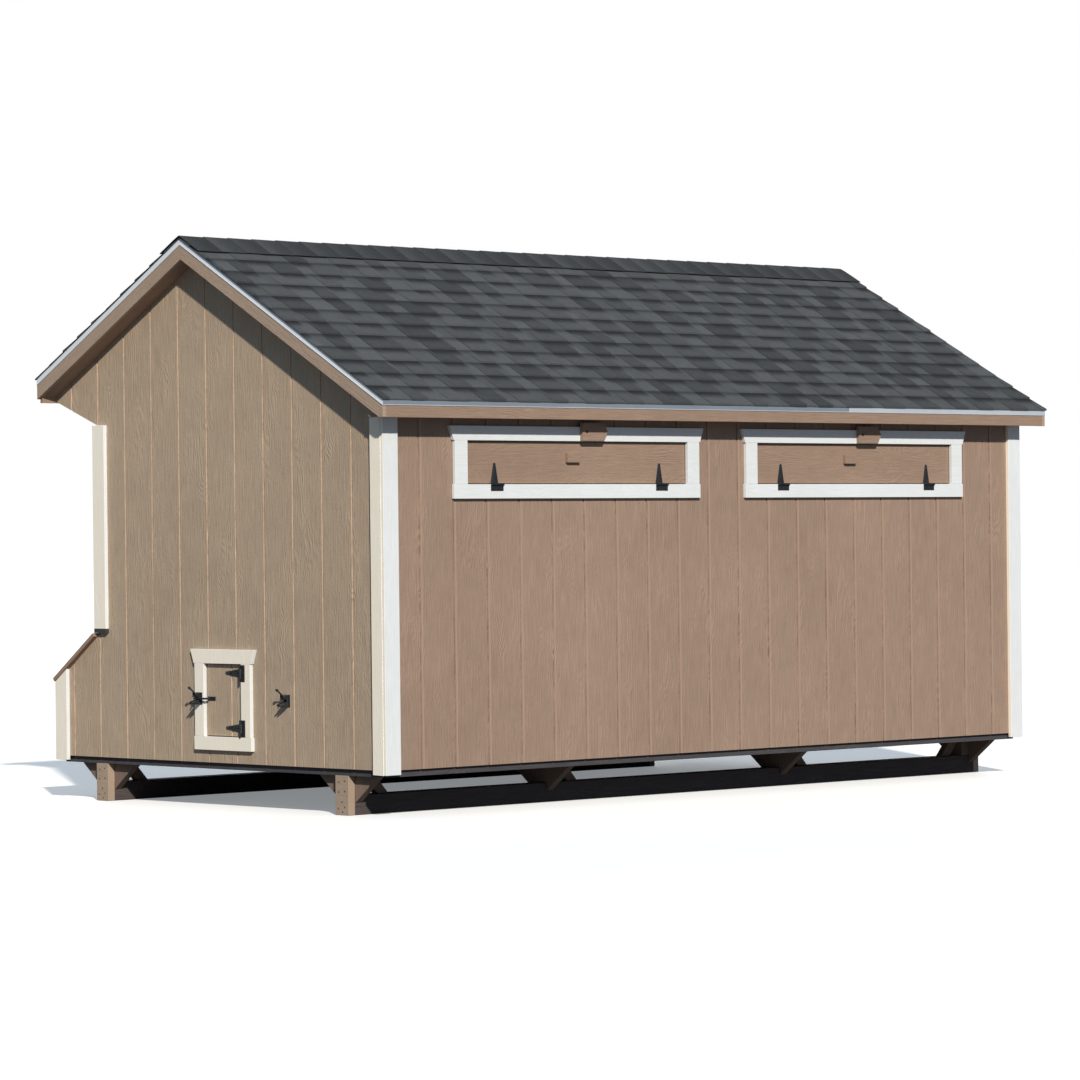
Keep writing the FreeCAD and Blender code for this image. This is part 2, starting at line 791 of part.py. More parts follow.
def rake_edging(roof, eave_y, inward, x_out, x_in, x_flange):
    """Folded metal over one rake: a leg down the rake board's face and a flange under the shingles."""
    flange_y = eave_y + inward * d.flashing_flange
    leg_y = (eave_y, d.ridge_y) if inward > 0 else (d.ridge_y, eave_y)
    top_y = (flange_y, d.ridge_y) if inward > 0 else (d.ridge_y, flange_y)
    leg = prism("YZ", [
        (leg_y[0], roof(leg_y[0]) - d.flashing_leg),
        (leg_y[1], roof(leg_y[1]) - d.flashing_leg),
        (leg_y[1], roof(leg_y[1]) + flashing_rise),
        (leg_y[0], roof(leg_y[0]) + flashing_rise),
    ], *sorted((x_out, x_in), key=value_of))
    flange = slab(roof, top_y, d.flashing_t, sorted((x_in, x_flange), key=value_of))
    return fuse(leg, flange)


def eave_edging(roof, face_y, inward):
    """Folded metal along an eave, in one run between the rakes."""
    out_y = face_y - inward * d.flashing_t
    in_y = face_y + inward * d.flashing_flange
    return prism("YZ", [
        (out_y, roof(face_y) - d.flashing_leg),
        (face_y, roof(face_y) - d.flashing_leg),
        (face_y, roof(face_y)),
        (in_y, roof(in_y)),
        (in_y, roof(in_y) + flashing_rise),
        (out_y, roof(out_y) + flashing_rise),
    ], rake_outer, d.house_length - rake_outer)


rakes = []
for roof, eave_y, inward in ((rear_roof, rear_fascia_y, 1), (front_roof, front_fascia_y, -1)):
    outer = rake_outer - d.flashing_t
    flange = rake_outer + d.flashing_flange
    rakes.append(rake_edging(roof, eave_y, inward, outer, rake_outer, flange))
    far = [d.house_length - x for x in (outer, rake_outer, flange)]
    rakes.append(rake_edging(roof, eave_y, inward, *far))
node("rake_edging", *rakes)
node("eave_edging", eave_edging(rear_roof, rear_fascia_y, 1), eave_edging(front_roof, front_fascia_y, -1))


# ---- Shingles ---------------------------------------------------------------------------------------

shingle_x = (rake_outer - d.shingle_overhang, d.house_length - rake_outer + d.shingle_overhang)


def shingle_field(roof, tip_y, inward):
    """Courses lapped up one slope: each is thick at its butt and thinner where the next covers it."""
    run = d.shingle_exposure / SLOPE
    slope_run = abs(SIZES["ridge_y"] - value_of(tip_y))
    courses = int(slope_run / run.value)
    outline = [(d.ridge_y, roof(d.ridge_y) + flashing_rise), (tip_y, roof(tip_y) + flashing_rise)]
    for course in range(courses + 1):
        butt = tip_y + inward * course * run
        head = d.ridge_y if course == courses else tip_y + inward * (course + 1) * run
        outline.append((butt, roof(butt) + flashing_rise + d.shingle_t * SLOPE))
        outline.append((head, roof(head) + flashing_rise + d.shingle_head_t * SLOPE))
    return prism("YZ", outline, *shingle_x)


node("rear_shingles", shingle_field(rear_roof, roof_rear_tip, 1))
node("front_shingles", shingle_field(front_roof, roof_front_tip, -1))

cap_bed = flashing_rise + d.shingle_t * SLOPE + d.seat_gap
cap_drop = d.roof_pitch * d.cap_reach
node("ridge_caps", prism("YZ", [
    (d.ridge_y - d.cap_reach, d.ridge_z - cap_drop + cap_bed),
    (d.ridge_y, d.ridge_z + cap_bed),
    (d.ridge_y + d.cap_reach, d.ridge_z - cap_drop + cap_bed),
    (d.ridge_y + d.cap_reach, d.ridge_z - cap_drop + cap_bed + d.cap_t * SLOPE),
    (d.ridge_y, d.ridge_z + cap_bed + d.cap_t * SLOPE),
    (d.ridge_y - d.cap_reach, d.ridge_z - cap_drop + cap_bed + d.cap_t * SLOPE),
], *shingle_x))


# ---- Corner boards ----------------------------------------------------------------------------------

def both_ends(x):
    return (x, mirrored(x))


gable_face_x = (-d.trim_t, 0)
long_face_x = (-d.trim_t, d.trim_w - d.trim_t)
front_face_x = (0, d.trim_w)
rear_trim_z = (d.trim_z, rear_soffit_z[0])
front_trim_z = (d.lid_axis_z + d.flashing_t + d.front_trim_gap, front_soffit(d.room_depth))
front_gable_y = (d.room_depth - d.trim_w + d.trim_t, d.room_depth + d.trim_t)
nest_gable_y = (floor_depth - d.trim_w + d.trim_t, floor_depth + d.trim_t)


def under_lid(y):
    """Outline of an upright board whose top follows the underside of the lids."""
    return [(y[0], d.trim_z), (y[1], d.trim_z), (y[1], lid_bed(y[1])), (y[0], lid_bed(y[0]))]


corner_boards = []
for x in both_ends(long_face_x):
    corner_boards.append(box(x, (-d.trim_t, 0), rear_trim_z))
for x in both_ends(gable_face_x):
    corner_boards.append(box(x, (0, d.trim_w - d.trim_t), rear_trim_z))
    corner_boards.append(box(x, front_gable_y, front_trim_z))
    corner_boards.append(prism("YZ", under_lid(nest_gable_y), *x))
for x in both_ends(front_face_x):
    corner_boards.append(box(x, (d.room_depth, d.room_depth + d.trim_t), front_trim_z))
    corner_boards.append(prism("YZ", under_lid((floor_depth, floor_depth + d.trim_t)), *x))
node("corner_boards", *corner_boards)


# ---- Casings round the openings ---------------------------------------------------------------------

def casing(plane, across, u, v, stile_w, rail_h, head_h):
    """Two stiles, a bottom rail and a head whose ends flare outwards, round the opening u by v."""
    outer = (u[0] - stile_w, u[1] + stile_w)
    ear = (outer[0] - d.casing_ear, outer[1] + d.casing_ear)
    head_v = (v[1], v[1] + head_h)
    head = [
        (ear[0], head_v[0]),
        (ear[1], head_v[0]),
        (ear[1] + d.casing_flare, head_v[1]),
        (ear[0] - d.casing_flare, head_v[1]),
    ]
    outlines = [
        rectangle((outer[0], u[0]), v),
        rectangle((u[1], outer[1]), v),
        rectangle(ear, (v[0] - rail_h, v[0])),
        head,
    ]
    return [prism(plane, outline, *across) for outline in outlines]


vent_casings = []
for vent in vents:
    vent_casings += casing(
        "XZ", (-d.trim_t, 0), vent, vent_z, d.vent_stile_w, d.vent_rail_h, d.vent_head_h
    )
node("vent_casings", *vent_casings)
far_gable_face_x = mirrored(gable_face_x)
threshold_h = entry_z[0] - d.trim_z
node(
    "door_casings",
    *casing("YZ", gable_face_x, bird_y, bird_z, d.bird_frame_w, d.bird_rail_h, d.bird_head_h),
    *casing("YZ", far_gable_face_x, entry_y, entry_z, d.trim_w, threshold_h, d.trim_w),
)


# ---- Tee hinges -------------------------------------------------------------------------------------

# The barrel stands far enough out that a door folded back flat brings its striker to the second catch.
hinge_offset = d.trim_t + d.barrel_r + d.barrel_clearance
catch_slot = hinge_offset - d.trim_t / 2
knuckle_end = d.strap_w / 2 + d.knuckle_gap


def place(shape, at, rotation):
    shape.Placement = FreeCAD.Placement(FreeCAD.Vector(), rotation)
    for letter, size in zip("xyz", at):
        bind(shape, f"Placement.Base.{letter}", size)
    return shape


def tee_leaf():
    """The plate screwed to the casing, its two knuckles and the pin.

    Drawn about the pin: x along it, y out from the wall, and z towards the door or flap.
    """
    back = d.trim_t - hinge_offset
    thick = (back, back + d.leaf_t)
    plate = cut(
        box((-d.leaf_w / 2, d.leaf_w / 2), thick, (-d.leaf_h, 0)),
        box((-knuckle_end, knuckle_end), thick, (-d.barrel_r - d.knuckle_gap, 0)),
    )
    knuckles = [
        rod("x", (0, 0), d.barrel_r, start, end)
        for start, end in ((-d.leaf_w / 2, -knuckle_end), (knuckle_end, d.leaf_w / 2))
    ]
    return fuse(plate, *knuckles, rod("x", (0, 0), d.pin_r, -d.leaf_w / 2, d.leaf_w / 2))


def bored(shape):
    return cut(shape, rod("x", (0, 0), d.pin_r + d.pin_play, -d.strap_w, d.strap_w))


def tee_strap(reach):
    """The moving half: middle knuckle, the set of the metal back to the panel, and the tapered strap."""
    low = d.barrel_r - d.leaf_t
    middle = (-d.strap_w / 2, d.strap_w / 2)
    knuckle = rod("x", (0, 0), d.barrel_r, *middle)
    web = box(middle, (-hinge_offset, 0), (low, d.barrel_r))
    strap = prism("XZ", [
        (middle[0], low),
        (middle[1], low),
        (d.strap_tip_w / 2, reach),
        (-d.strap_tip_w / 2, reach),
    ], -hinge_offset, -hinge_offset + d.leaf_t)
    return bored(fuse(knuckle, web, strap))


# How a hinge is turned for each wall.
ON_REAR = FreeCAD.Rotation(FreeCAD.Vector(0, 0, 1), 180)
ON_NEAR = FreeCAD.Rotation(FreeCAD.Vector(0, 0, -1), FreeCAD.Vector(-1, 0, 0), FreeCAD.Vector(0, 1, 0), "XYZ")
ON_FAR = FreeCAD.Rotation(FreeCAD.Vector(0, 0, 1), FreeCAD.Vector(1, 0, 0), FreeCAD.Vector(0, 1, 0), "XYZ")

hinge_leaves = []


# ---- Vent flaps, their pulls and turn buttons -------------------------------------------------------

for side, vent in zip(("left", "right"), vents):
    flap = box(
        (vent[0] + d.vent_gap, vent[1] - d.vent_gap),
        (0, d.siding_t),
        (vent_z[0] + d.vent_gap, vent_z[1] - d.vent_head_gap),
    )
    pull_x = vent[0] + d.pull_inset
    pull = box((pull_x, pull_x + d.pull_w), (-d.trim_t, 0), (d.pull_z, d.pull_z + d.pull_h))
    node(f"vent_flap_{side}", flap, pull)
    straps = []
    for x in (vent[0] + d.vent_hinge_inset, vent[1] - d.vent_hinge_inset):
        at = (x, -hinge_offset, vent_z[0])
        hinge_leaves.append(place(tee_leaf(), at, ON_REAR))
        straps.append(place(tee_strap(d.strap_reach), at, ON_REAR))
    node(f"vent_straps_{side}", *straps)

button_y = (-2 * d.trim_t - d.seat_gap, -d.trim_t - d.seat_gap)
screws = []
for side, vent in zip(("left", "right"), vents):
    pivot_x = vent[0] + d.button_inset
    half = d.button_w / 2
    outline = [
        (pivot_x - d.button_tail, d.button_z - half),
        (pivot_x + d.button_reach - d.button_tip, d.button_z - half),
        (pivot_x + d.button_reach, d.button_z),
        (pivot_x + d.button_reach - d.button_tip, d.button_z + half),
        (pivot_x - d.button_tail, d.button_z + half),
    ]
    bore = rod("y", (pivot_x, d.button_z), d.button_screw_r + d.seat_gap, button_y[0] - 1, button_y[1] + 1)
    node(f"turn_button_{side}", cut(prism("XZ", outline, *button_y), bore))
    head_y = (button_y[0] - d.seat_gap - 3, button_y[0] - d.seat_gap)
    shank = rod("y", (pivot_x, d.button_z), d.button_screw_r, head_y[0], -d.trim_t)
    screws.append(fuse(shank, rod("y", (pivot_x, d.button_z), d.button_screw_head_r, *head_y)))
node("button_screws", *screws)

mesh_lap = 2 * d.stop_lap
node("vent_mesh", *[
    box(
        (vent[0] - mesh_lap, vent[1] + mesh_lap),
        (inner_face, inner_face + d.mesh_t),
        (vent_z[0] - mesh_lap, vent_z[1] + mesh_lap),
    )
    for vent in vents
])


# ---- Bird door, striker and catches -----------------------------------------------------------------

bird_panel_y = (bird_y[0] + d.door_gap, bird_y[1] - d.door_gap)
bird_panel_z = (bird_z[0] + d.vent_gap, bird_z[1] - d.vent_gap)
panel_grooves = [
    y for y in along(d.gable_groove_first, floor_depth, d.groove_pitch)
    if value_of(bird_panel_y[0]) < y.value - SIZES["groove_w"] < value_of(bird_panel_y[1])
]
node("bird_door", cut(
    box(near_siding_x, bird_panel_y, bird_panel_z),
    *grooves(panel_grooves, lambda y: box(near_groove, y, (bird_z[0], bird_z[1]))),
))
bird_straps = []
for z in (bird_z[0] + d.bird_hinge_inset, bird_z[1] - d.bird_hinge_inset):
    at = (-hinge_offset, bird_y[0], z)
    hinge_leaves.append(place(tee_leaf(), at, ON_NEAR))
    bird_straps.append(place(tee_strap(d.bird_strap_reach), at, ON_NEAR))
node("bird_door_straps", *bird_straps)

striker_x = -d.trim_t - catch_slot
post_y = bird_y[0] + d.striker_post
striker_end = d.catch_y + d.catch_w * 0.4
striker_plate_y = (post_y - d.catch_w * 0.8, post_y + d.catch_w * 0.3)
striker_plate_z = (d.catch_z - d.striker_plate_h / 2, d.catch_z + d.striker_plate_h / 2)
node("striker_bar", fuse(
    box((-d.leaf_t, 0), striker_plate_y, striker_plate_z),
    rod("x", (post_y, d.catch_z), d.striker_r, striker_x, 0),
    rod("y", (striker_x, d.catch_z), d.striker_r, post_y - d.striker_r, striker_end),
))


def catch_body(face_x, y):
    """A forked catch: plate, two cheeks with a slot open outwards, and the pawl's pin between them."""
    def at(out, up):
        return (face_x - out, d.catch_z + up)

    slot = d.striker_r + d.striker_play
    throat = catch_slot - d.striker_r - d.striker_play
    cheek = [
        at(0, -d.catch_h),
        at(d.catch_depth * 0.45, -d.catch_h),
        at(d.catch_depth, -d.catch_h * 0.8),
        at(d.catch_depth, -d.catch_h * 0.55),
        at(d.catch_depth * 0.5, -slot),
        at(throat, -slot),
        at(throat, slot),
        at(d.catch_depth * 0.45, slot),
        at(d.catch_depth * 0.6, d.catch_h * 0.55),
        at(d.catch_depth * 0.6, d.catch_h),
        at(0, d.catch_h),
    ]
    inner = d.pawl_w / 2 + d.knuckle_gap
    plate = box(
        (face_x - d.leaf_t, face_x),
        (y - d.catch_w / 2, y + d.catch_w / 2),
        (d.catch_z - d.catch_h, d.catch_z + d.catch_h),
    )
    cheeks = [
        prism("XZ", cheek, y - inner - d.leaf_t, y - inner),
        prism("XZ", cheek, y + inner, y + inner + d.leaf_t),
    ]
    pin = rod("y", pawl_pivot(face_x), d.pin_r, y - inner - d.leaf_t, y + inner + d.leaf_t)
    return fuse(plate, *cheeks, pin)


def pawl_pivot(face_x):
    return (face_x - d.pawl_pivot_out, d.catch_z + d.pawl_pivot_up)


def pawl(face_x, y):
    """The pawl lifted clear of the slot: hub, tongue, and a lever that ends in a knob."""
    x, z = pawl_pivot(face_x)
    half = d.pawl_t / 2
    tongue = [
        (x - half, z + half),
        (x - d.pawl_length * 0.91 + half * 0.4, z - d.pawl_length * 0.42 + half),
        (x - d.pawl_length * 0.91 - half * 0.4, z - d.pawl_length * 0.42 - half),
        (x + half, z - half),
    ]
    lever = [
        (x - half, z - half),
        (x - d.pawl_lever * 0.77 - half * 0.6, z + d.pawl_lever * 0.64 - half * 0.8),
        (x - d.pawl_lever * 0.77 + half * 0.6, z + d.pawl_lever * 0.64 + half * 0.8),
        (x + half, z + half),
    ]
    knob = (x - d.pawl_lever * 0.77, z + d.pawl_lever * 0.64)
    whole = fuse(
        rod("y", (x, z), d.pin_r + d.pawl_t / 2, y - d.pawl_w / 2, y + d.pawl_w / 2),
        prism("XZ", tongue, y - half, y + half),
        prism("XZ", lever, y - half, y + half),
        rod("y", knob, d.pawl_t, y - d.pawl_t, y + d.pawl_t),
    )
    return cut(whole, rod("y", (x, z), d.pin_r + d.pin_play, y - d.pawl_w, y + d.pawl_w))


holdback_y = 2 * bird_y[0] - d.catch_y
node("catch_bodies", catch_body(-d.trim_t, d.catch_y), catch_body(0, holdback_y))
node("door_catch_pawl", pawl(-d.trim_t, d.catch_y))
node("holdback_catch_pawl", pawl(0, holdback_y))


# ---- Person's door, pull and slide bolt -------------------------------------------------------------

entry_panel_y = (entry_y[0] + d.door_gap, entry_y[1] - d.door_gap)
entry_panel_z = (entry_z[0] + d.door_gap, entry_z[1] - d.door_gap)
entry_grooves = [
    y for y in along(d.gable_groove_first, floor_depth, d.groove_pitch)
    if value_of(entry_panel_y[0]) < y.value - SIZES["groove_w"] < value_of(entry_panel_y[1])
]
entry_panel = cut(
    box(far_siding_x, entry_panel_y, entry_panel_z),
    *grooves(entry_grooves, lambda y: box(far_groove, y, (entry_z[0], entry_z[1]))),
)
brace_x = (d.house_length - d.siding_t - d.trim_t, d.house_length - d.siding_t)
brace_inset = 2 * d.stop_lap
brace_y = (entry_panel_y[0] + brace_inset, entry_panel_y[1] - brace_inset)
brace_z = (entry_panel_z[0] + brace_inset, entry_panel_z[1] - brace_inset)
stile_z = (brace_z[0] + d.trim_w, brace_z[1] - d.trim_w)
middle_z = ((brace_z[0] + brace_z[1] - d.trim_w) / 2, (brace_z[0] + brace_z[1] + d.trim_w) / 2)
braces = [
    box(brace_x, brace_y, (brace_z[0], stile_z[0])),
    box(brace_x, brace_y, (stile_z[1], brace_z[1])),
    box(brace_x, (brace_y[0], brace_y[0] + d.trim_w), stile_z),
    box(brace_x, (brace_y[1] - d.trim_w, brace_y[1]), stile_z),
    box(brace_x, (brace_y[0] + d.trim_w, brace_y[1] - d.trim_w), middle_z),
]
node("entry_door", entry_panel, *braces)

entry_straps = []
for z in (
    entry_z[0] + d.entry_hinge_inset,
    (entry_z[0] + entry_z[1]) / 2,
    entry_z[1] - d.entry_hinge_inset,
):
    at = (d.house_length + hinge_offset, entry_y[0], z)
    hinge_leaves.append(place(tee_leaf(), at, ON_FAR))
    entry_straps.append(place(tee_strap(d.door_strap_reach), at, ON_FAR))
node("entry_door_straps", *entry_straps)

door_face = d.house_length
bolt_x = door_face + d.trim_t + 2 * d.bolt_r
bolt_end = entry_y[1] - d.bolt_r
bolt_start = bolt_end - d.bolt_length
guide_h = (d.bolt_z - 2.5 * d.bolt_r, d.bolt_z + 2.5 * d.bolt_r)
guide_w = 3 * d.bolt_r
knob_y = bolt_end - d.bolt_length * 0.55


def bolt_eye(x, y):
    """A block with a hole that the bolt slides through."""
    hole = rod("y", (bolt_x, d.bolt_z), d.bolt_r + d.bolt_play, y[0] - 1, y[1] + 1)
    return cut(box(x, y, guide_h), hole)


eye_x = (door_face, bolt_x + 2 * d.bolt_r)
node(
    "bolt_guides",
    bolt_eye(eye_x, (bolt_end - 2 * guide_w, bolt_end - guide_w)),
    bolt_eye(eye_x, (bolt_start + d.bolt_r, bolt_start + d.bolt_r + guide_w)),
)
node("slide_bolt", fuse(
    rod("y", (bolt_x, d.bolt_z), d.bolt_r, bolt_start, bolt_end),
    rod("x", (knob_y, d.bolt_z), d.bolt_r * 0.7, bolt_x, bolt_x + 6 * d.bolt_r),
))
keeper_y = (entry_y[1] + d.bolt_r, entry_y[1] + d.bolt_r + guide_w)
keeper_half = d.bolt_r + d.keeper_play
node("bolt_keeper", cut(
    box((door_face + d.trim_t, eye_x[1]), keeper_y, guide_h),
    box(
        (bolt_x - keeper_half, bolt_x + keeper_half),
        (keeper_y[0] - 1, keeper_y[1] + 1),
        (d.bolt_z - keeper_half, d.bolt_z + keeper_half),
    ),
))

pull_y = entry_y[1] - d.trim_w
pull_z = (d.bolt_z - d.door_pull_drop - d.door_pull_span, d.bolt_z - d.door_pull_drop)
pull_x = door_face + d.pull_reach
node("entry_pull", fuse(
    *[rod("x", (pull_y, z), d.pull_bar_r * 0.8, door_face, pull_x) for z in pull_z],
    rod("z", (pull_x, pull_y), d.pull_bar_r, pull_z[0] - 2 * d.pull_bar_r, pull_z[1] + 2 * d.pull_bar_r),
))


# ---- Nest boxes and lids ----------------------------------------------------------------------------

def on_lid(down, above):
    """A point down the lids' slope from the hinge axis, and above the plane through that axis."""
    y = lid_axis_y + (down + d.lid_pitch * above) / LID_SLOPE
    z = d.lid_axis_z + (above - d.lid_pitch * down) / LID_SLOPE
    return (y, z)


lid_s = (d.lid_standoff, d.lid_standoff + d.lid_length)
lid_h = (-d.lid_rise - d.lid_t, -d.lid_rise)
lid_outline = [on_lid(lid_s[0], lid_h[0]), on_lid(lid_s[1], lid_h[0]),
               on_lid(lid_s[1], lid_h[1]), on_lid(lid_s[0], lid_h[1])]
middle_x = d.house_length / 2
lid_x = {
    "left": (-d.lid_side_overhang, middle_x - d.lid_gap / 2),
    "right": (middle_x + d.lid_gap / 2, d.house_length + d.lid_side_overhang),
}


def lid_leaf(x):
    """The wall half of a lid hinge: an upright plate, a set out to the knuckles, and the pin."""
    ends = ((x - d.leaf_w / 2, x - knuckle_end), (x + knuckle_end, x + d.leaf_w / 2))
    whole = (ends[0][0], ends[1][1])
    low = d.lid_axis_z + d.barrel_r - d.leaf_t
    plate = box(whole, (d.room_depth, d.room_depth + d.leaf_t), (low, low + d.leaf_h))
    parts = [plate, rod("x", (lid_axis_y, d.lid_axis_z), d.pin_r, *whole)]
    for end in ends:
        parts.append(rod("x", (lid_axis_y, d.lid_axis_z), d.barrel_r, *end))
        parts.append(box(end, (d.room_depth, lid_axis_y), (low, low + d.leaf_t)))
    return fuse(*parts)


def lid_strap(x):
    """The lid's half: a knuckle and a strap lying down the lid's upper face."""
    middle = (x - d.strap_w / 2, x + d.strap_w / 2)
    strap = prism("YZ", [
        on_lid(0, -d.lid_rise), on_lid(d.strap_reach, -d.lid_rise), on_lid(d.strap_reach, 0), on_lid(0, 0),
    ], *middle)
    bore = rod(
        "x", (lid_axis_y, d.lid_axis_z), d.pin_r + d.pin_play, middle[0] - 1, middle[1] + 1
    )
    return cut(fuse(rod("x", (lid_axis_y, d.lid_axis_z), d.barrel_r, *middle), strap), bore)


for side, x in lid_x.items():
    node(f"nest_lid_{side}", prism("YZ", lid_outline, *x))
    quarter = (x[1] - x[0]) / 4
    places = [x[0] + quarter * i - quarter / 2 for i in (1, 2.5, 4)]
    hinge_leaves += [lid_leaf(place_x) for place_x in places]
    node(f"lid_straps_{side}", *[lid_strap(place_x) for place_x in places])
node("hinge_leaves", *hinge_leaves)

rubber_z = (front_trim_z[0] - 5 * d.rubber_t, front_trim_z[0] - d.rubber_t - d.flashing_t)
node(
    "rubber_strip",
    box((0, d.house_length), (d.room_depth, d.room_depth + d.rubber_t), rubber_z),
    *[box(x, front_gable_y, (rubber_z[0], front_trim_z[0])) for x in both_ends(gable_face_x)],
)

back_y = front_stud_y[0]
meet_y = lid_axis_y + (lid_bed(lid_axis_y) - d.nest_beam_z) / d.lid_pitch
partition = [
    (back_y, deck_top),
    (nest_inner, deck_top),
    (nest_inner, lid_bed(nest_inner)),
    (meet_y, d.nest_beam_z),
    (back_y, d.nest_beam_z),
]
partition_places = along(floor_x[0] + d.nest_pitch, floor_x[1] - d.nest_pitch / 2, d.nest_pitch)
node(
    "nest_partitions",
    *[prism("YZ", partition, x, x + d.nest_board_t) for x in partition_places],
    box(
        (inner_face, d.house_length - inner_face),
        (back_y - d.nest_board_t, back_y),
        (deck_top, deck_top + d.nest_lip_h),
    ),
)


# ---- Roosts -----------------------------------------------------------------------------------------

roost_x = (d.roost_start, d.roost_start + d.roost_length)
ledger_y = (inner_face, inner_face + d.lumber_t)
arm_y = (ledger_y[1], inner_face + d.roost_depth)
arm_z = (d.roost_z, d.roost_z + d.lumber_w)
roosts = [box(roost_x, ledger_y, arm_z)]
arm_places = [roost_x[0], (roost_x[0] + roost_x[1] - d.lumber_t) / 2, roost_x[1] - d.lumber_t]
for x in arm_places:
    roosts.append(box((x, x + d.lumber_t), arm_y, arm_z))
    roosts.append(box((x, x + d.lumber_t), (arm_y[1] - d.lumber_w, arm_y[1]), (deck_top, arm_z[0])))
bar_pitch = (arm_y[1] - arm_y[0] - d.roost_bar) / 3
for i in (1, 2, 3):
    bar_y = arm_y[0] + bar_pitch * i
    roosts.append(box(
        (roost_x[0] - d.lumber_w, roost_x[1] + d.lumber_w),
        (bar_y, bar_y + d.roost_bar),
        (arm_z[1], arm_z[1] + d.roost_bar),
    ))
node("roosts", *roosts)


# ---- Check and write --------------------------------------------------------------------------------

doc.recompute()
for thing in doc.Objects:
    if "Invalid" in thing.State or "Error" in thing.State:
        raise RuntimeError(f"{thing.Label} failed: {thing.State}")
for piece, solids in NODES:
    shape = piece.Shape
    if shape.isNull() or not shape.isValid() or len(shape.Solids) != solids:
        raise RuntimeError(f"{piece.Label} has a bad shape")
    shape.exportStep(f"parts/{piece.Label}.step")
print(len(NODES), "sub-parts written")
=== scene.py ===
"""Looks of a gabled wooden chicken coop on skids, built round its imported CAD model."""

import json
import math
import random

import bpy
from mathutils import Matrix, Vector

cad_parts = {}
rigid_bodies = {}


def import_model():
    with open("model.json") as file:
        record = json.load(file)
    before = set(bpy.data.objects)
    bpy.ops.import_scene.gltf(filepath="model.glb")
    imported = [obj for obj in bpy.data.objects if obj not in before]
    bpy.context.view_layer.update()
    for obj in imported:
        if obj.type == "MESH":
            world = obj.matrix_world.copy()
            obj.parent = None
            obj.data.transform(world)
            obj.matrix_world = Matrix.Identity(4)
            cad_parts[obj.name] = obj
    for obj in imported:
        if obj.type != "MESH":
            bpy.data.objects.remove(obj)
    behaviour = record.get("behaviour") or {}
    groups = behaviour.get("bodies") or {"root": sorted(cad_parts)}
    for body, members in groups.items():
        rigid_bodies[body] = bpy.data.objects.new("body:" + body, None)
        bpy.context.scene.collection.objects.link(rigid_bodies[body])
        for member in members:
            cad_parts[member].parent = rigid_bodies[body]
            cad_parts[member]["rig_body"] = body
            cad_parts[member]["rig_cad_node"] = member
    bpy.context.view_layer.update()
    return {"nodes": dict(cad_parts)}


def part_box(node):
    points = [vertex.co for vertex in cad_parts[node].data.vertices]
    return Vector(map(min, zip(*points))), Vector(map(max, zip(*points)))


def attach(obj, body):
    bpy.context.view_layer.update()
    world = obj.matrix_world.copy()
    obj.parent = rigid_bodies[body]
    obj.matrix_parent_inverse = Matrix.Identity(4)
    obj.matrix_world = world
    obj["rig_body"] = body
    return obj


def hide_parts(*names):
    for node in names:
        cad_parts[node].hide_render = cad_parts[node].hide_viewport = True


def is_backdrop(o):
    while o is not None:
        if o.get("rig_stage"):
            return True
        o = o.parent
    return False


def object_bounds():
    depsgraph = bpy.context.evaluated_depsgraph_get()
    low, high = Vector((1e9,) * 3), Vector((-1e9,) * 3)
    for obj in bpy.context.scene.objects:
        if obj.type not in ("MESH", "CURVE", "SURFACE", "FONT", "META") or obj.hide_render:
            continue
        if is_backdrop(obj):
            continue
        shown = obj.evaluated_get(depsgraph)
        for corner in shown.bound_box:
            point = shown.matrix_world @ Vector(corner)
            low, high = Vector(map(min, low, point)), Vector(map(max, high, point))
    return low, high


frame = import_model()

nodes = frame["nodes"]
bpy.ops.object.select_all(action="DESELECT")


# ---- Siding panels ----------------------------------------------------------------------------------
# Grooved panels of pressed wood strand, 16 mm thick, nailed to the studs with the grain upright.
# The face is embossed with a coarse cedar grain and rolled with two coats of tan solid stain.

def add(tree, kind, inputs=None, **settings):
    """Adds a shader node, and wires or sets its inputs."""
    made = tree.nodes.new(kind)
    for key, value in settings.items():
        setattr(made, key, value)
    for key, value in (inputs or {}).items():
        if isinstance(value, bpy.types.NodeSocket):
            tree.links.new(value, made.inputs[key])
        else:
            made.inputs[key].default_value = value
    return made


def maths(tree, operation, first, second=0.0, third=0.0):
    inputs = {0: first, 1: second, 2: third}
    return add(tree, "ShaderNodeMath", inputs, operation=operation).outputs[0]


def group(name, floats_in, floats_out, vector_in=None):
    """An empty shader group with its sockets made."""
    made = bpy.data.node_groups.new(name, "ShaderNodeTree")
    if vector_in:
        made.interface.new_socket(vector_in, in_out="INPUT", socket_type="NodeSocketVector")
    for label in floats_in:
        made.interface.new_socket(label, in_out="INPUT", socket_type="NodeSocketFloat")
    for label in floats_out:
        made.interface.new_socket(label, in_out="OUTPUT", socket_type="NodeSocketFloat")
    return made, made.nodes.new("NodeGroupInput").outputs, made.nodes.new("NodeGroupOutput").inputs


# Embossed cedar grain: long arches and streaks that run along the board. Each pair of numbers is
# how closely the pattern repeats in a metre, across the board and along it.
DRIFT = (2.3, 0.55)
STREAKS = (150.0, 7.0)
FLECKS = (420.0, 60.0)
ARCHES_IN_A_METRE = 55.0
ARCH_WANDER = 30.0
grain, told, gives = group("cedar_grain", ["Across", "Along"], ["Height", "Shade"])


def board_noise(closeness, scale, detail, roughness=0.5):
    """Noise laid over the board, drawn out along it."""
    laid = add(grain, "ShaderNodeCombineXYZ", {
        "X": maths(grain, "MULTIPLY", told["Across"], closeness[0]),
        "Y": maths(grain, "MULTIPLY", told["Along"], closeness[1]),
    })
    return add(grain, "ShaderNodeTexNoise", {
        "Vector": laid.outputs[0], "Scale": scale, "Detail": detail, "Roughness": roughness,
    }).outputs["Fac"]


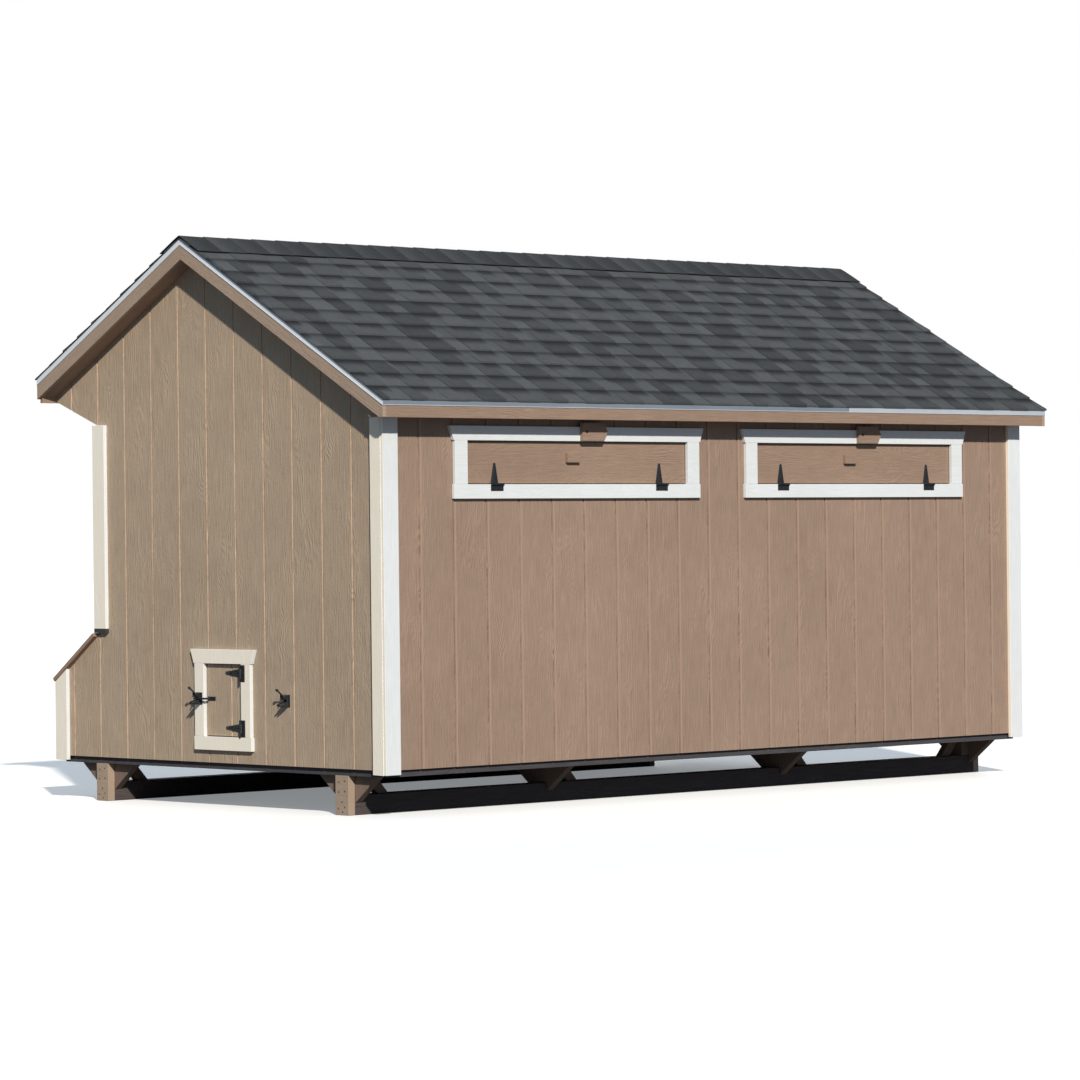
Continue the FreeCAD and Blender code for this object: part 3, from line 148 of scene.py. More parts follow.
wander = maths(grain, "MULTIPLY", board_noise(DRIFT, 2.2, 3.0), ARCH_WANDER)
arches = maths(grain, "MULTIPLY_ADD", told["Across"], ARCHES_IN_A_METRE, wander)
ridges = maths(grain, "SINE", maths(grain, "MULTIPLY", arches, 2 * math.pi))
ridges = maths(grain, "MULTIPLY_ADD", ridges, 0.5, 0.5)
patchy = add(grain, "ShaderNodeMapRange", {
    "Value": board_noise(DRIFT, 3.6, 1.0),
    "From Min": 0.46, "From Max": 0.66, "To Min": 0.12, "To Max": 1.0,
}).outputs[0]
streaks = board_noise(STREAKS, 1.0, 4.0, 0.6)
flecks = board_noise(FLECKS, 1.0, 2.0)
arched = maths(grain, "MULTIPLY", ridges, patchy)
height = maths(grain, "MULTIPLY_ADD", streaks, 0.8, maths(grain, "MULTIPLY", arched, 0.30))
height = maths(grain, "MULTIPLY_ADD", flecks, 0.45, height)
grain.links.new(height, gives["Height"])
grain.links.new(maths(grain, "MULTIPLY_ADD", arched, 0.18, streaks), gives["Shade"])

# Uneven drying, dust and handling marks, and on sheet metal a painted sheen: soft patches at two scales.
patches, told, gives = group("patches", ["Scale"], ["Fac"], vector_in="Vector")
broad = add(patches, "ShaderNodeTexNoise", {"Vector": told["Vector"], "Scale": told["Scale"], "Detail": 3.0})
fine_scale = maths(patches, "MULTIPLY", told["Scale"], 9.0)
fine = add(patches, "ShaderNodeTexNoise", {"Vector": told["Vector"], "Scale": fine_scale, "Detail": 4.0})
mostly = maths(patches, "MULTIPLY", broad.outputs["Fac"], 0.6)
patches.links.new(maths(patches, "MULTIPLY_ADD", fine.outputs["Fac"], 0.4, mostly), gives["Fac"])

# The roof falls the same way on both sides of the ridge.
ROOF_PITCH = 0.555
ridge_low, ridge_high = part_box("ridge_board")
ridge_y = (ridge_low.y + ridge_high.y) / 2


def across_and_along(tree, point, run):
    """Coordinates across and along the boards: run is upright, level, deep or raked."""
    axes = add(tree, "ShaderNodeSeparateXYZ", {0: point}).outputs
    if run == "upright":
        return maths(tree, "ADD", axes["X"], axes["Y"]), axes["Z"]
    if run == "level":
        return maths(tree, "MULTIPLY_ADD", axes["Y"], 0.7, axes["Z"]), axes["X"]
    if run == "deep":
        return maths(tree, "ADD", axes["X"], axes["Z"]), axes["Y"]
    out = maths(tree, "ABSOLUTE", maths(tree, "SUBTRACT", axes["Y"], ridge_y))
    return maths(tree, "MULTIPLY_ADD", out, ROOF_PITCH, axes["Z"]), out


def new_material(name, roughness, metallic=0.0):
    made = bpy.data.materials.new(name)
    made.use_nodes = True
    tree = made.node_tree
    shader = tree.nodes["Principled BSDF"]
    shader.inputs["Roughness"].default_value = roughness
    shader.inputs["Metallic"].default_value = metallic
    point = tree.nodes.new("ShaderNodeTexCoord").outputs["Object"]
    return made, tree, shader, point


def blend(tree, fac, first, second):
    """Two colours mixed, each of them three numbers or another node's output."""
    mix = add(tree, "ShaderNodeMix", {"Factor": fac}, data_type="RGBA")
    for key, colour in (("A", first), ("B", second)):
        if isinstance(colour, tuple):
            mix.inputs[key].default_value = (*colour, 1)
        else:
            tree.links.new(colour, mix.inputs[key])
    return mix.outputs["Result"]


def weathering_and_sheen(tree, point, scale):
    """How weathered each place is, and on sheet metal where its painted sheen lies; a larger scale makes
    smaller patches.
    """
    wear_and_sheen = add(tree, "ShaderNodeGroup", {"Vector": point, "Scale": scale}, node_tree=patches)
    return wear_and_sheen.outputs["Fac"]


def relief_from(tree, shader, height, strength, distance):
    bump = add(tree, "ShaderNodeBump", {"Height": height, "Strength": strength, "Distance": distance})
    tree.links.new(bump.outputs["Normal"], shader.inputs["Normal"])


def banded(tree, value, first, pitch, width):
    """1 within half the width of each place a pitch apart, else 0."""
    nearest = maths(tree, "WRAP", maths(tree, "SUBTRACT", value, first), pitch / 2, -pitch / 2)
    return maths(tree, "LESS_THAN", maths(tree, "ABSOLUTE", nearest), width / 2)


def painted_wood(name, run, dark, light, relief, roughness, groove=None):
    """Stain or paint over wood: the grain shows as relief, and a little as tone."""
    made, tree, shader, point = new_material(name, roughness)
    across, along = across_and_along(tree, point, run)
    board = add(tree, "ShaderNodeGroup", {"Across": across, "Along": along}, node_tree=grain).outputs
    wear_and_sheen = weathering_and_sheen(tree, point, 1.6)
    tone = maths(tree, "MULTIPLY_ADD", board["Shade"], 0.75, maths(tree, "MULTIPLY", wear_and_sheen, 0.6))
    tone = add(tree, "ShaderNodeMapRange", {"Value": tone, "From Min": 0.45, "From Max": 0.95}).outputs[0]
    colour = blend(tree, tone, dark, light)
    if groove:
        letter, first, groove_painted_light = groove
        place = add(tree, "ShaderNodeSeparateXYZ", {0: point}).outputs[letter]
        # A paler colour is painted into each groove: painted light.
        colour = blend(tree, banded(tree, place, first, GROOVE_PITCH, GROOVE_WIDTH), colour, groove_painted_light)
    tree.links.new(colour, shader.inputs["Base Color"])
    tree.links.new(maths(tree, "MULTIPLY_ADD", wear_and_sheen, 0.18, roughness - 0.09), shader.inputs["Roughness"])
    relief_from(tree, shader, board["Height"], *relief)
    return made


def coat(name, material):
    """A CAD node keeps its own mesh and takes the material."""
    nodes[name].data.materials.clear()
    nodes[name].data.materials.append(material)


# A relief is a bump's strength and its depth in metres.
EMBOSSED = (0.8, 0.0040)
SMOOTH = (0.5, 0.0016)
GROOVE_PITCH = 0.2032
GROOVE_WIDTH = 0.0095
GABLE_FIRST_GROOVE = 0.2141
WALL_FIRST_GROOVE = 0.2055
SIDING_ROUGHNESS = 0.72
# The grooves are painted paler: on the gables a painted highlight for the groove sides that catch the key
# light, and on the long walls painted light that evens out the shade in the grooves.
# One tan stain in two copies: lighter on the gables as painted light, and darker on the long walls as
# painted shade, for how the key light falls on each.
GABLE_TAN_PAINTED_LIGHT = ((0.350, 0.264, 0.178), (0.520, 0.386, 0.266))
GABLE_GROOVE_PAINTED_LIGHT = (0.53, 0.375, 0.265)
WALL_TAN_PAINTED_SHADE = ((0.262, 0.177, 0.126), (0.382, 0.254, 0.180))
WALL_GROOVE_PAINTED_LIGHT = (0.385, 0.253, 0.182)
gable_groove = ("Y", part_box("near_gable_siding")[0].y + GABLE_FIRST_GROOVE, GABLE_GROOVE_PAINTED_LIGHT)
wall_groove = ("X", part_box("rear_siding")[0].x + WALL_FIRST_GROOVE, WALL_GROOVE_PAINTED_LIGHT)
gable_stain_painted_light = painted_wood(
    "gable_stain_painted_light", "upright", *GABLE_TAN_PAINTED_LIGHT, EMBOSSED, SIDING_ROUGHNESS, gable_groove
)
wall_stain_painted_shade = painted_wood("wall_stain_painted_shade", "upright", *WALL_TAN_PAINTED_SHADE, EMBOSSED, SIDING_ROUGHNESS, wall_groove)
for name in ("near_gable_siding", "far_gable_siding", "entry_door"):
    coat(name, gable_stain_painted_light)
for name in ("rear_siding", "front_siding", "nest_siding"):
    coat(name, wall_stain_painted_shade)


# ---- Boards with eased edges ------------------------------------------------------------------------
# Planed 19 mm boards, nailed on: white corner boards and casings, and tan fascias and rakes. The rake
# boards, the skid end boards, and the faces of corner boards and door casings that look along the house take
# lighter copies, cream and a paler tan: painted light for how the key light falls there. The planer leaves
# their edges very slightly rounded.

def eased(node, edge, material, slot, segments=2):
    """The node's own shape as one closed mesh with eased edges, which stands for the node."""
    bpy.ops.object.select_all(action="DESELECT")
    nodes[node].select_set(True)
    bpy.context.view_layer.objects.active = nodes[node]
    bpy.ops.object.duplicate()
    piece = bpy.context.view_layer.objects.active
    piece.name = node + "_finished"
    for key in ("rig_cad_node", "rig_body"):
        del piece[key]
    bpy.ops.object.mode_set(mode="EDIT")
    bpy.ops.mesh.select_all(action="SELECT")
    bpy.ops.mesh.remove_doubles(threshold=0.00002)
    bpy.ops.mesh.dissolve_limited(angle_limit=math.radians(1))
    bpy.ops.object.mode_set(mode="OBJECT")
    bevel = piece.modifiers.new("eased", "BEVEL")
    bevel.width = edge
    bevel.segments = segments
    bevel.limit_method = "ANGLE"
    bevel.angle_limit = math.radians(35)
    bpy.ops.object.modifier_apply(modifier="eased")
    if slot == "black_iron":
        bpy.ops.object.shade_smooth_by_angle(angle=math.radians(32))
    else:
        bpy.ops.object.shade_flat()
    piece.data.materials.clear()
    piece.data.materials.append(material)
    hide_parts(node)
    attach(piece, nodes[node]["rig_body"])
    return piece


def painted_light_coat(piece, material):
    """Painted light: the other material, on the faces that look along the house."""
    mostly_along = 0.7
    piece.data.materials.append(material)
    for face in piece.data.polygons:
        if abs(face.normal.x) > mostly_along:
            face.material_index = 1


WHITE = ((0.69, 0.70, 0.68), (0.80, 0.81, 0.80))
# The cream, and the rake and end tans, are lighter copies of the white and the tan: painted light on faces
# that look along the house.
CREAM_PAINTED_LIGHT = ((0.90, 0.80, 0.64), (0.98, 0.90, 0.77))
TAN = ((0.265, 0.174, 0.120), (0.355, 0.236, 0.165))
RAKE_TAN_PAINTED_LIGHT = ((0.35, 0.250, 0.178), (0.45, 0.325, 0.235))
END_TAN_PAINTED_LIGHT = ((0.33, 0.240, 0.168), (0.45, 0.325, 0.235))
PAINT_ROUGHNESS = 0.5
STAIN_ROUGHNESS = 0.7
BOARD_EDGE = 0.0015
white_upright = painted_wood("white_paint_upright", "upright", *WHITE, SMOOTH, PAINT_ROUGHNESS)
white_level = painted_wood("white_paint_level", "level", *WHITE, SMOOTH, PAINT_ROUGHNESS)
cream_painted_light = painted_wood("cream_white_painted_light", "upright", *CREAM_PAINTED_LIGHT, SMOOTH, PAINT_ROUGHNESS)
tan_level = painted_wood("tan_stain_level", "level", *TAN, EMBOSSED, STAIN_ROUGHNESS)
tan_raked_painted_light = painted_wood("tan_stain_raked_painted_light", "raked", *RAKE_TAN_PAINTED_LIGHT, EMBOSSED, STAIN_ROUGHNESS)
tan_upright = painted_wood("tan_stain_upright", "upright", *TAN, SMOOTH, STAIN_ROUGHNESS)
tan_deep_painted_light = painted_wood("tan_stain_deep_painted_light", "deep", *END_TAN_PAINTED_LIGHT, SMOOTH, STAIN_ROUGHNESS)
painted_light_coat(eased("corner_boards", BOARD_EDGE, white_upright, "white_trim"), cream_painted_light)
eased("vent_casings", BOARD_EDGE, white_level, "white_trim")
painted_light_coat(eased("door_casings", BOARD_EDGE, white_upright, "white_trim"), cream_painted_light)
eased("fascias", BOARD_EDGE, tan_level, "stained_trim")
eased("rake_boards", BOARD_EDGE, tan_raked_painted_light, "stained_trim")
for name in ("nest_lid_left", "nest_lid_right", "vent_flap_left", "vent_flap_right"):
    eased(name, BOARD_EDGE, tan_level, "stained_siding")
for name in ("turn_button_left", "turn_button_right"):
    eased(name, BOARD_EDGE, tan_level, "stained_trim")
eased("skid_end_boards", BOARD_EDGE, tan_deep_painted_light, "stained_siding")
coat("soffits", tan_upright)


# ---- Bird door panel --------------------------------------------------------------------------------
# A leaf sawn from an offcut of the same grooved panel, so its one groove misses those of the wall.
# It hangs in the cased opening on two tee hinges.

LEAF_GROOVE = 0.69
LEAF_GROOVE_DEPTH = 0.004
SAWN_EDGE = 0.0008
leaf_low, leaf_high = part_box("bird_door")
groove_y = leaf_high.y - LEAF_GROOVE * (leaf_high.y - leaf_low.y)
bpy.ops.object.select_all(action="DESELECT")
bpy.ops.mesh.primitive_cube_add(size=1, location=(leaf_low + leaf_high) / 2, scale=leaf_high - leaf_low)
leaf = bpy.context.object
leaf.name = "bird_door_leaf"
bpy.ops.object.transform_apply(location=True, rotation=True, scale=True)
bpy.ops.object.mode_set(mode="EDIT")
for side in (-1, 1):
    bpy.ops.mesh.select_all(action="SELECT")
    bpy.ops.mesh.bisect(plane_co=(0, groove_y + side * GROOVE_WIDTH / 2, 0), plane_no=(0, 1, 0))
bpy.ops.object.mode_set(mode="OBJECT")
for face in leaf.data.polygons:
    face.select = face.normal.x < -0.9 and abs(face.center.y - groove_y) < GROOVE_WIDTH / 2
bpy.ops.object.mode_set(mode="EDIT")
bpy.ops.mesh.select_mode(type="FACE")
bpy.ops.mesh.extrude_region_move(TRANSFORM_OT_translate={"value": (LEAF_GROOVE_DEPTH, 0, 0)})
bpy.ops.object.mode_set(mode="OBJECT")
edges = leaf.modifiers.new("sawn", "BEVEL")
edges.width = SAWN_EDGE
edges.segments = 1
bpy.ops.object.modifier_apply(modifier="sawn")
# The leaf takes the gables' copies: the tan painted lighter and the groove painted paler, both painted
# light.
leaf.data.materials.append(painted_wood(
    "leaf_stain_painted_light", "upright", *GABLE_TAN_PAINTED_LIGHT, EMBOSSED, SIDING_ROUGHNESS, ("Y", groove_y, GABLE_GROOVE_PAINTED_LIGHT)
))
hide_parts("bird_door")
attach(leaf, "bird_door")


# ---- Skids, posts and braces ------------------------------------------------------------------------
# Sawn 89 mm timbers under the floor, with blocks and knee braces nailed to them. Their colour is painted
# shade from the house above: near black on the skids, dark brown on the posts and braces. They stay rougher
# than the boards above.

def bare_wood(name, run, dark, light, relief, roughness, knots=0.0):
    """Unpainted timber: pale wood with darker late rings, and now and then a knot."""
    made, tree, shader, point = new_material(name, roughness)
    across, along = across_and_along(tree, point, run)
    board = add(tree, "ShaderNodeGroup", {"Across": across, "Along": along}, node_tree=grain).outputs
    tone = add(tree, "ShaderNodeMapRange", {
        "Value": board["Shade"], "From Min": 0.3, "From Max": 0.9,
    }).outputs[0]
    colour = blend(tree, tone, dark, light)
    spots = add(tree, "ShaderNodeTexVoronoi", {"Vector": point, "Scale": 2.6}).outputs["Distance"]
    knot = add(tree, "ShaderNodeMapRange", {
        "Value": spots, "From Min": 0.03, "From Max": 0.055, "To Min": knots, "To Max": 0.0,
    }).outputs[0]
    tree.links.new(blend(tree, knot, colour, KNOT_BROWN), shader.inputs["Base Color"])
    dull = maths(tree, "MULTIPLY_ADD", weathering_and_sheen(tree, point, 3.0), 0.2, roughness - 0.1)
    tree.links.new(dull, shader.inputs["Roughness"])
    relief_from(tree, shader, board["Height"], *relief)
    return made


KNOT_BROWN = (0.10, 0.05, 0.025)
# Painted shade: the skids nearly black, the posts and braces dark brown.
SKID_PAINTED_SHADE = ((0.050, 0.038, 0.036), (0.105, 0.080, 0.072))
BRACE_PAINTED_SHADE = ((0.16, 0.110, 0.080), (0.27, 0.19, 0.14))
TREATED_ROUGHNESS = 0.8
TIMBER_EDGE = 0.003
BRACE_EDGE = 0.002
skid_wood_painted_shade = bare_wood("skid_timber_painted_shade", "level", *SKID_PAINTED_SHADE, SMOOTH, TREATED_ROUGHNESS)
brace_wood_painted_shade = bare_wood("brace_timber_painted_shade", "upright", *BRACE_PAINTED_SHADE, SMOOTH, TREATED_ROUGHNESS)
eased("skids", TIMBER_EDGE, skid_wood_painted_shade, "framing")
eased("skid_posts", TIMBER_EDGE, brace_wood_painted_shade, "framing")
eased("skid_braces", BRACE_EDGE, brace_wood_painted_shade, "framing")


# ---- Inside timber ----------------------------------------------------------------------------------
# Bare spruce studs, joists, rafters and roosts, and plywood decks and nest partitions.
# The floor frame's edge shows below the siding; its nearly black colour is painted shade under the siding.

SPRUCE = ((0.48, 0.32, 0.17), (0.68, 0.50, 0.31))
# Painted shade on the floor frame.
RIM_PAINTED_SHADE = ((0.040, 0.036, 0.040), (0.085, 0.074, 0.076))
PLYWOOD = ((0.50, 0.35, 0.20), (0.66, 0.49, 0.31))
SPRUCE_KNOTS = 0.8
PLYWOOD_KNOTS = 0.6
stud_wood = bare_wood("spruce_upright", "upright", *SPRUCE, SMOOTH, 0.7, SPRUCE_KNOTS)
plate_wood = bare_wood("spruce_level", "level", *SPRUCE, SMOOTH, 0.7, SPRUCE_KNOTS)
rafter_wood = bare_wood("spruce_raked", "raked", *SPRUCE, SMOOTH, 0.7, SPRUCE_KNOTS)
rim_wood_painted_shade = bare_wood("rim_joist_painted_shade", "level", *RIM_PAINTED_SHADE, SMOOTH, TREATED_ROUGHNESS)
plywood = bare_wood("plywood_level", "level", *PLYWOOD, SMOOTH, 0.65, PLYWOOD_KNOTS)
INSIDE = {
    stud_wood: ("rear_wall_frame", "front_wall_frame", "gable_frames"),
    plate_wood: ("ridge_board", "roosts"),
    rafter_wood: ("rafters",),
    rim_wood_painted_shade: ("floor_frame",),
    plywood: ("floor_deck", "rear_roof_deck", "front_roof_deck", "nest_partitions"),
}
for wood, names in INSIDE.items():
    for name in names:
        coat(name, wood)


# ---- Shingles ---------------------------------------------------------------------------------------
# Laminated asphalt shingles in courses 127 mm apart, nailed through the roof deck. A tooth layer is bonded
# over a base layer. A dark band runs along each course's head: under a tooth of the course above it is a
# wide band of printed dark granules, and elsewhere a narrow band of painted shade under the butt above.

EXPOSURE = 0.127
SLOPE = math.hypot(1, ROOF_PITCH)
COURSE_RUN = EXPOSURE / SLOPE
COURSE_LAP = 0.001
TOOTH_THICK = 0.0088
BASE_THICK = 0.0056
HEAD_THICK = 0.0020
TOOTH_WIDTHS = (0.09, 0.20)
GAP_WIDTHS = (0.07, 0.16)
FIRST_TOOTH_OUT = 0.2
LEAST_TOOTH = 0.01
LEAST_TAB = 0.002
BASE_SET_BACK = 0.0025
UNEVEN_BUTTS = 0.002
TOOTH_TONES = (0.05, 0.85)
BASE_TONES = (0.6, 1.0)
# The tooth's band is print; the narrow butt band is painted shade.
TOOTH_SHADE = 1.0
BUTT_SHADE = 0.6
draw = random.Random(7)


def teeth(left, right):
    """Where one course has its teeth: a list of (start, end) along the eave."""
    spans = []
    start = left - draw.uniform(0, FIRST_TOOTH_OUT)
    while start < right:
        end = start + draw.uniform(*TOOTH_WIDTHS)
        spans.append((max(start, left), min(end, right)))
        start = end + draw.uniform(*GAP_WIDTHS)
    return [span for span in spans if span[1] - span[0] > LEAST_TOOTH]


def tooth_at(x, spans):
    """The tooth that covers this place, or None in a gap."""
    return next((span for span in spans if span[0] <= x <= span[1]), None)


bpy.ops.mesh.primitive_cube_add(size=1)
tab = bpy.context.object
tab.name = "shingle_tab"
tab.data.attributes.new("shingle", "FLOAT_COLOR", "CORNER")


def lay_tab(x, y, heights, bottom, tone, shaded):
    """One tab. Of each pair, x is left and right, and the others are at the butt and the head."""
    laid = tab.copy()
    laid.data = tab.data.copy()
    bpy.context.collection.objects.link(laid)
    for vertex in laid.data.vertices:
        at_head = vertex.co.y > 0
        on_top = vertex.co.z > 0
        vertex.co.z = bottom[at_head] + (heights[at_head] if on_top else 0)
        vertex.co.x = x[vertex.co.x > 0]
        vertex.co.y = y[at_head]
    values = laid.data.attributes["shingle"].data
    for loop in laid.data.loops:
        reach = laid.data.vertices[loop.vertex_index].co.y
        up = abs(reach - y[1]) < abs(reach - y[0])
        values[loop.index].color = (tone, shaded, 1.0 if up else 0.0, 1)
    return laid


def joined(pieces, name):
    """Several pieces as one, under its own name."""
    bpy.ops.object.select_all(action="DESELECT")
    for piece in pieces:
        piece.select_set(True)
    bpy.context.view_layer.objects.active = pieces[0]
    bpy.ops.object.join()
    pieces[0].name = name
    return pieces[0]


granules, told, gives = group("granules", [], ["Speck", "Clump"], vector_in="Vector")
specks = add(granules, "ShaderNodeTexVoronoi", {"Vector": told["Vector"], "Scale": 420.0})
speck = add(granules, "ShaderNodeSeparateColor", {0: specks.outputs["Color"]}).outputs[0]
clumps = add(granules, "ShaderNodeTexNoise", {"Vector": told["Vector"], "Scale": 26.0, "Detail": 5.0})
granules.links.new(speck, gives["Speck"])
granules.links.new(clumps.outputs["Fac"], gives["Clump"])

# The attribute holds each tab's tone, the depth of its dark band (print under a tooth, painted shade
# elsewhere), and 1 at its head.
DARK_SLATE = (0.018, 0.019, 0.020)
PALE_SLATE = (0.090, 0.096, 0.096)
SHADE_BLACK = (0.007, 0.007, 0.0075)
shingle_look, tree, shader, point = new_material("slate_grey_granules", 0.9)
grit = add(tree, "ShaderNodeGroup", {"Vector": point}, node_tree=granules).outputs
lay = add(tree, "ShaderNodeSeparateColor", {
    0: add(tree, "ShaderNodeAttribute", attribute_name="shingle").outputs["Color"],
}).outputs
tone = maths(tree, "MULTIPLY_ADD", grit["Clump"], 0.5, lay["Red"])
tone = maths(tree, "MULTIPLY_ADD", grit["Speck"], 0.35, tone)
tone = add(tree, "ShaderNodeMapRange", {"Value": tone, "From Min": 0.15, "From Max": 1.6}).outputs[0]
fade = add(tree, "ShaderNodeMapRange", {
    "Value": maths(tree, "MULTIPLY_ADD", grit["Clump"], 0.25, lay["Blue"]),
    "From Min": 0.50, "From Max": 1.05,
}, interpolation_type="SMOOTHSTEP").outputs[0]
# The weaker the shade, the narrower its band.
narrow = maths(tree, "DIVIDE", 1.0, maths(tree, "POWER", lay["Green"], 2.5))
band = maths(tree, "MULTIPLY", maths(tree, "POWER", fade, narrow), lay["Green"])
slate = blend(tree, tone, DARK_SLATE, PALE_SLATE)
tree.links.new(blend(tree, band, slate, SHADE_BLACK), shader.inputs["Base Color"])
relief_from(tree, shader, grit["Speck"], 0.5, 0.0012)


def shingle_slope(node, eave_y, inward):
    """All the tabs of one slope, joined as one piece that stands for the node."""
    low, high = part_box(node)
    bed = low.z + ROOF_PITCH * abs(ridge_y - eave_y)
    courses = int(abs(ridge_y - eave_y) / COURSE_RUN) + 1
    rows = [teeth(low.x, high.x) for _ in range(courses + 1)]
    tabs = []
    for course in range(courses):
        butt = eave_y + inward * course * COURSE_RUN
        head = ridge_y if course == courses - 1 else butt + inward * (COURSE_RUN + COURSE_LAP)
        bottom = (bed - ROOF_PITCH * abs(ridge_y - butt), bed - ROOF_PITCH * abs(ridge_y - head))
        cuts = {low.x, high.x}
        for span in rows[course] + rows[course + 1]:
            cuts.update(span)
        cuts = sorted(cuts)
        tone_of = {span: draw.uniform(*TOOTH_TONES) for span in rows[course]}
        for left, right in zip(cuts, cuts[1:]):
            if right - left < LEAST_TAB:
                continue
            middle = (left + right) / 2
            own = tooth_at(middle, rows[course])
            thick = TOOTH_THICK if own else BASE_THICK
            tone = tone_of[own] if own else draw.uniform(*BASE_TONES)
            set_back = draw.uniform(0, UNEVEN_BUTTS) if own else BASE_SET_BACK
            y = (butt + inward * set_back, head)
            shaded = TOOTH_SHADE if tooth_at(middle, rows[course + 1]) else BUTT_SHADE
            tops = (thick * SLOPE, HEAD_THICK * SLOPE)
            tabs.append(lay_tab((left, right), y, tops, bottom, tone, shaded))
    laid = joined(tabs, node + "_laid")
    bpy.ops.object.mode_set(mode="EDIT")
    bpy.ops.mesh.select_all(action="SELECT")
    bpy.ops.mesh.normals_make_consistent(inside=False)
    bpy.ops.object.mode_set(mode="OBJECT")
    laid.data.materials.clear()
    laid.data.materials.append(shingle_look)
    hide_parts(node)
    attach(laid, "house")


shingle_slope("rear_shingles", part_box("rear_shingles")[0].y, 1)
shingle_slope("front_shingles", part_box("front_shingles")[1].y, -1)

# Ridge caps: single tabs bent over the ridge, each lapping the last by a little more than half.
CAP_LIFT = 0.0025
CAP_THICK = 0.0030
CAP_EXPOSURE = 0.143
CAP_BEND = 0.004
CAP_TONES = (0.1, 0.55)
CAP_SHADE = 0.5
CAP_LEADING_EDGE = 0.7
cap_low, cap_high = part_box("ridge_caps")
cap_count = round((cap_high.x - cap_low.x) / CAP_EXPOSURE)
cap_step = (cap_high.x - cap_low.x) / cap_count
cap_half = (cap_high.y - cap_low.y) / 2
cap_base = cap_low.z + ROOF_PITCH * math.hypot(cap_half, CAP_BEND)
caps = []
bpy.ops.object.select_all(action="DESELECT")
for number in range(cap_count):
    bpy.ops.mesh.primitive_grid_add(x_subdivisions=1, y_subdivisions=8, size=1)
    cap = bpy.context.object
    cap.data.attributes.new("shingle", "FLOAT_COLOR", "CORNER")
    start = cap_low.x + number * cap_step
    for vertex in cap.data.vertices:
        side = vertex.co.y * 2
        out = abs(side) * cap_half
        trailing = vertex.co.x > 0
        drop = ROOF_PITCH * math.hypot(out, CAP_BEND)
        vertex.co = (
            start + (cap_step if trailing else 0),
            ridge_y + side * cap_half,
            cap_base - drop + (0 if trailing else CAP_LIFT),
        )
    tone = draw.uniform(*CAP_TONES)
    for loop in cap.data.loops:
        trailing = cap.data.vertices[loop.vertex_index].co.x > start + cap_step / 2
        reach = 1.0 if trailing else CAP_LEADING_EDGE
        cap.data.attributes["shingle"].data[loop.index].color = (tone, CAP_SHADE, reach, 1)
    thick = cap.modifiers.new("thick", "SOLIDIFY")
    thick.thickness = CAP_THICK
    thick.offset = 1
    bpy.ops.object.modifier_apply(modifier="thick")
    caps.append(cap)
ridge_line = joined(caps, "ridge_caps_laid")
bpy.ops.object.shade_smooth_by_angle(angle=math.radians(25))
ridge_line.data.materials.append(shingle_look)
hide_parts("ridge_caps")
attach(ridge_line, "house")
bpy.data.objects.remove(tab)


# ---- Metal edging -----------------------------------------------------------------------------------
# Thin pale sheet metal folded over the roof's edges and nailed to the deck, with a rolled lip at its lower
# hem. One metal in three copies: white on the rakes as painted glare, grey along the eaves as a painted dark
# reflection, and the hems' grey, paler than the eaves', as a painted highlight.

def sheet_metal(name, dark, light):
    """Thin coated sheet: its colour wanders between dark and light as a painted sheen, where the metal has
    sprung a little.
    """
    made, tree, shader, point = new_material(name, 0.4, metallic=0.2)
    wear_and_sheen = weathering_and_sheen(tree, point, 4.0)
    tree.links.new(blend(tree, wear_and_sheen, dark, light), shader.inputs["Base Color"])
    tree.links.new(maths(tree, "MULTIPLY_ADD", wear_and_sheen, 0.25, 0.3), shader.inputs["Roughness"])
    relief_from(tree, shader, wear_and_sheen, 0.3, 0.002)
    return made


# Three copies of one metal: painted glare on the rakes, a painted dark reflection along the eaves, and a
# painted highlight on the hems.
rake_metal_painted_glare = sheet_metal("rake_sheet_painted_glare", (0.86, 0.87, 0.88), (0.98, 0.98, 0.98))
eave_metal_painted_reflection = sheet_metal("eave_sheet_painted_reflection", (0.20, 0.225, 0.26), (0.30, 0.33, 0.37))
hem_metal = sheet_metal("bright_hem", (0.45, 0.48, 0.52), (0.66, 0.69, 0.72))
coat("rake_edging", rake_metal_painted_glare)
coat("eave_edging", eave_metal_painted_reflection)

HEM = 0.0022
EDGING_LEG = 0.0285
EAVE_HEM_UP = 0.0015


def hem(name, start, end):
    """A rolled lip from start to end: a closed six-sided bar with its ends pinched in."""
    way = Vector(end) - Vector(start)
    bpy.ops.object.select_all(action="DESELECT")
    bpy.ops.mesh.primitive_cylinder_add(vertices=6, radius=HEM, depth=way.length)
    roll = bpy.context.object
    roll.name = name
    roll.rotation_mode = "QUATERNION"
    roll.rotation_quaternion = way.to_track_quat("Z", "Y")
    roll.location = (Vector(start) + Vector(end)) / 2
    bpy.ops.object.transform_apply(location=True, rotation=True, scale=True)
    pinch = roll.modifiers.new("pinched", "BEVEL")
    pinch.width = HEM / 3
    pinch.segments = 1
    bpy.ops.object.modifier_apply(modifier="pinched")
    roll.data.materials.append(hem_metal)
    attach(roll, "house")


rake_low, rake_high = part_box("rake_edging")
eave_low, eave_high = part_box("eave_edging")
hem_peak = rake_high.z - EDGING_LEG


def hem_height(y):
    """The height of the edging's hem at this distance from the ridge."""
    return hem_peak - ROOF_PITCH * abs(ridge_y - y)


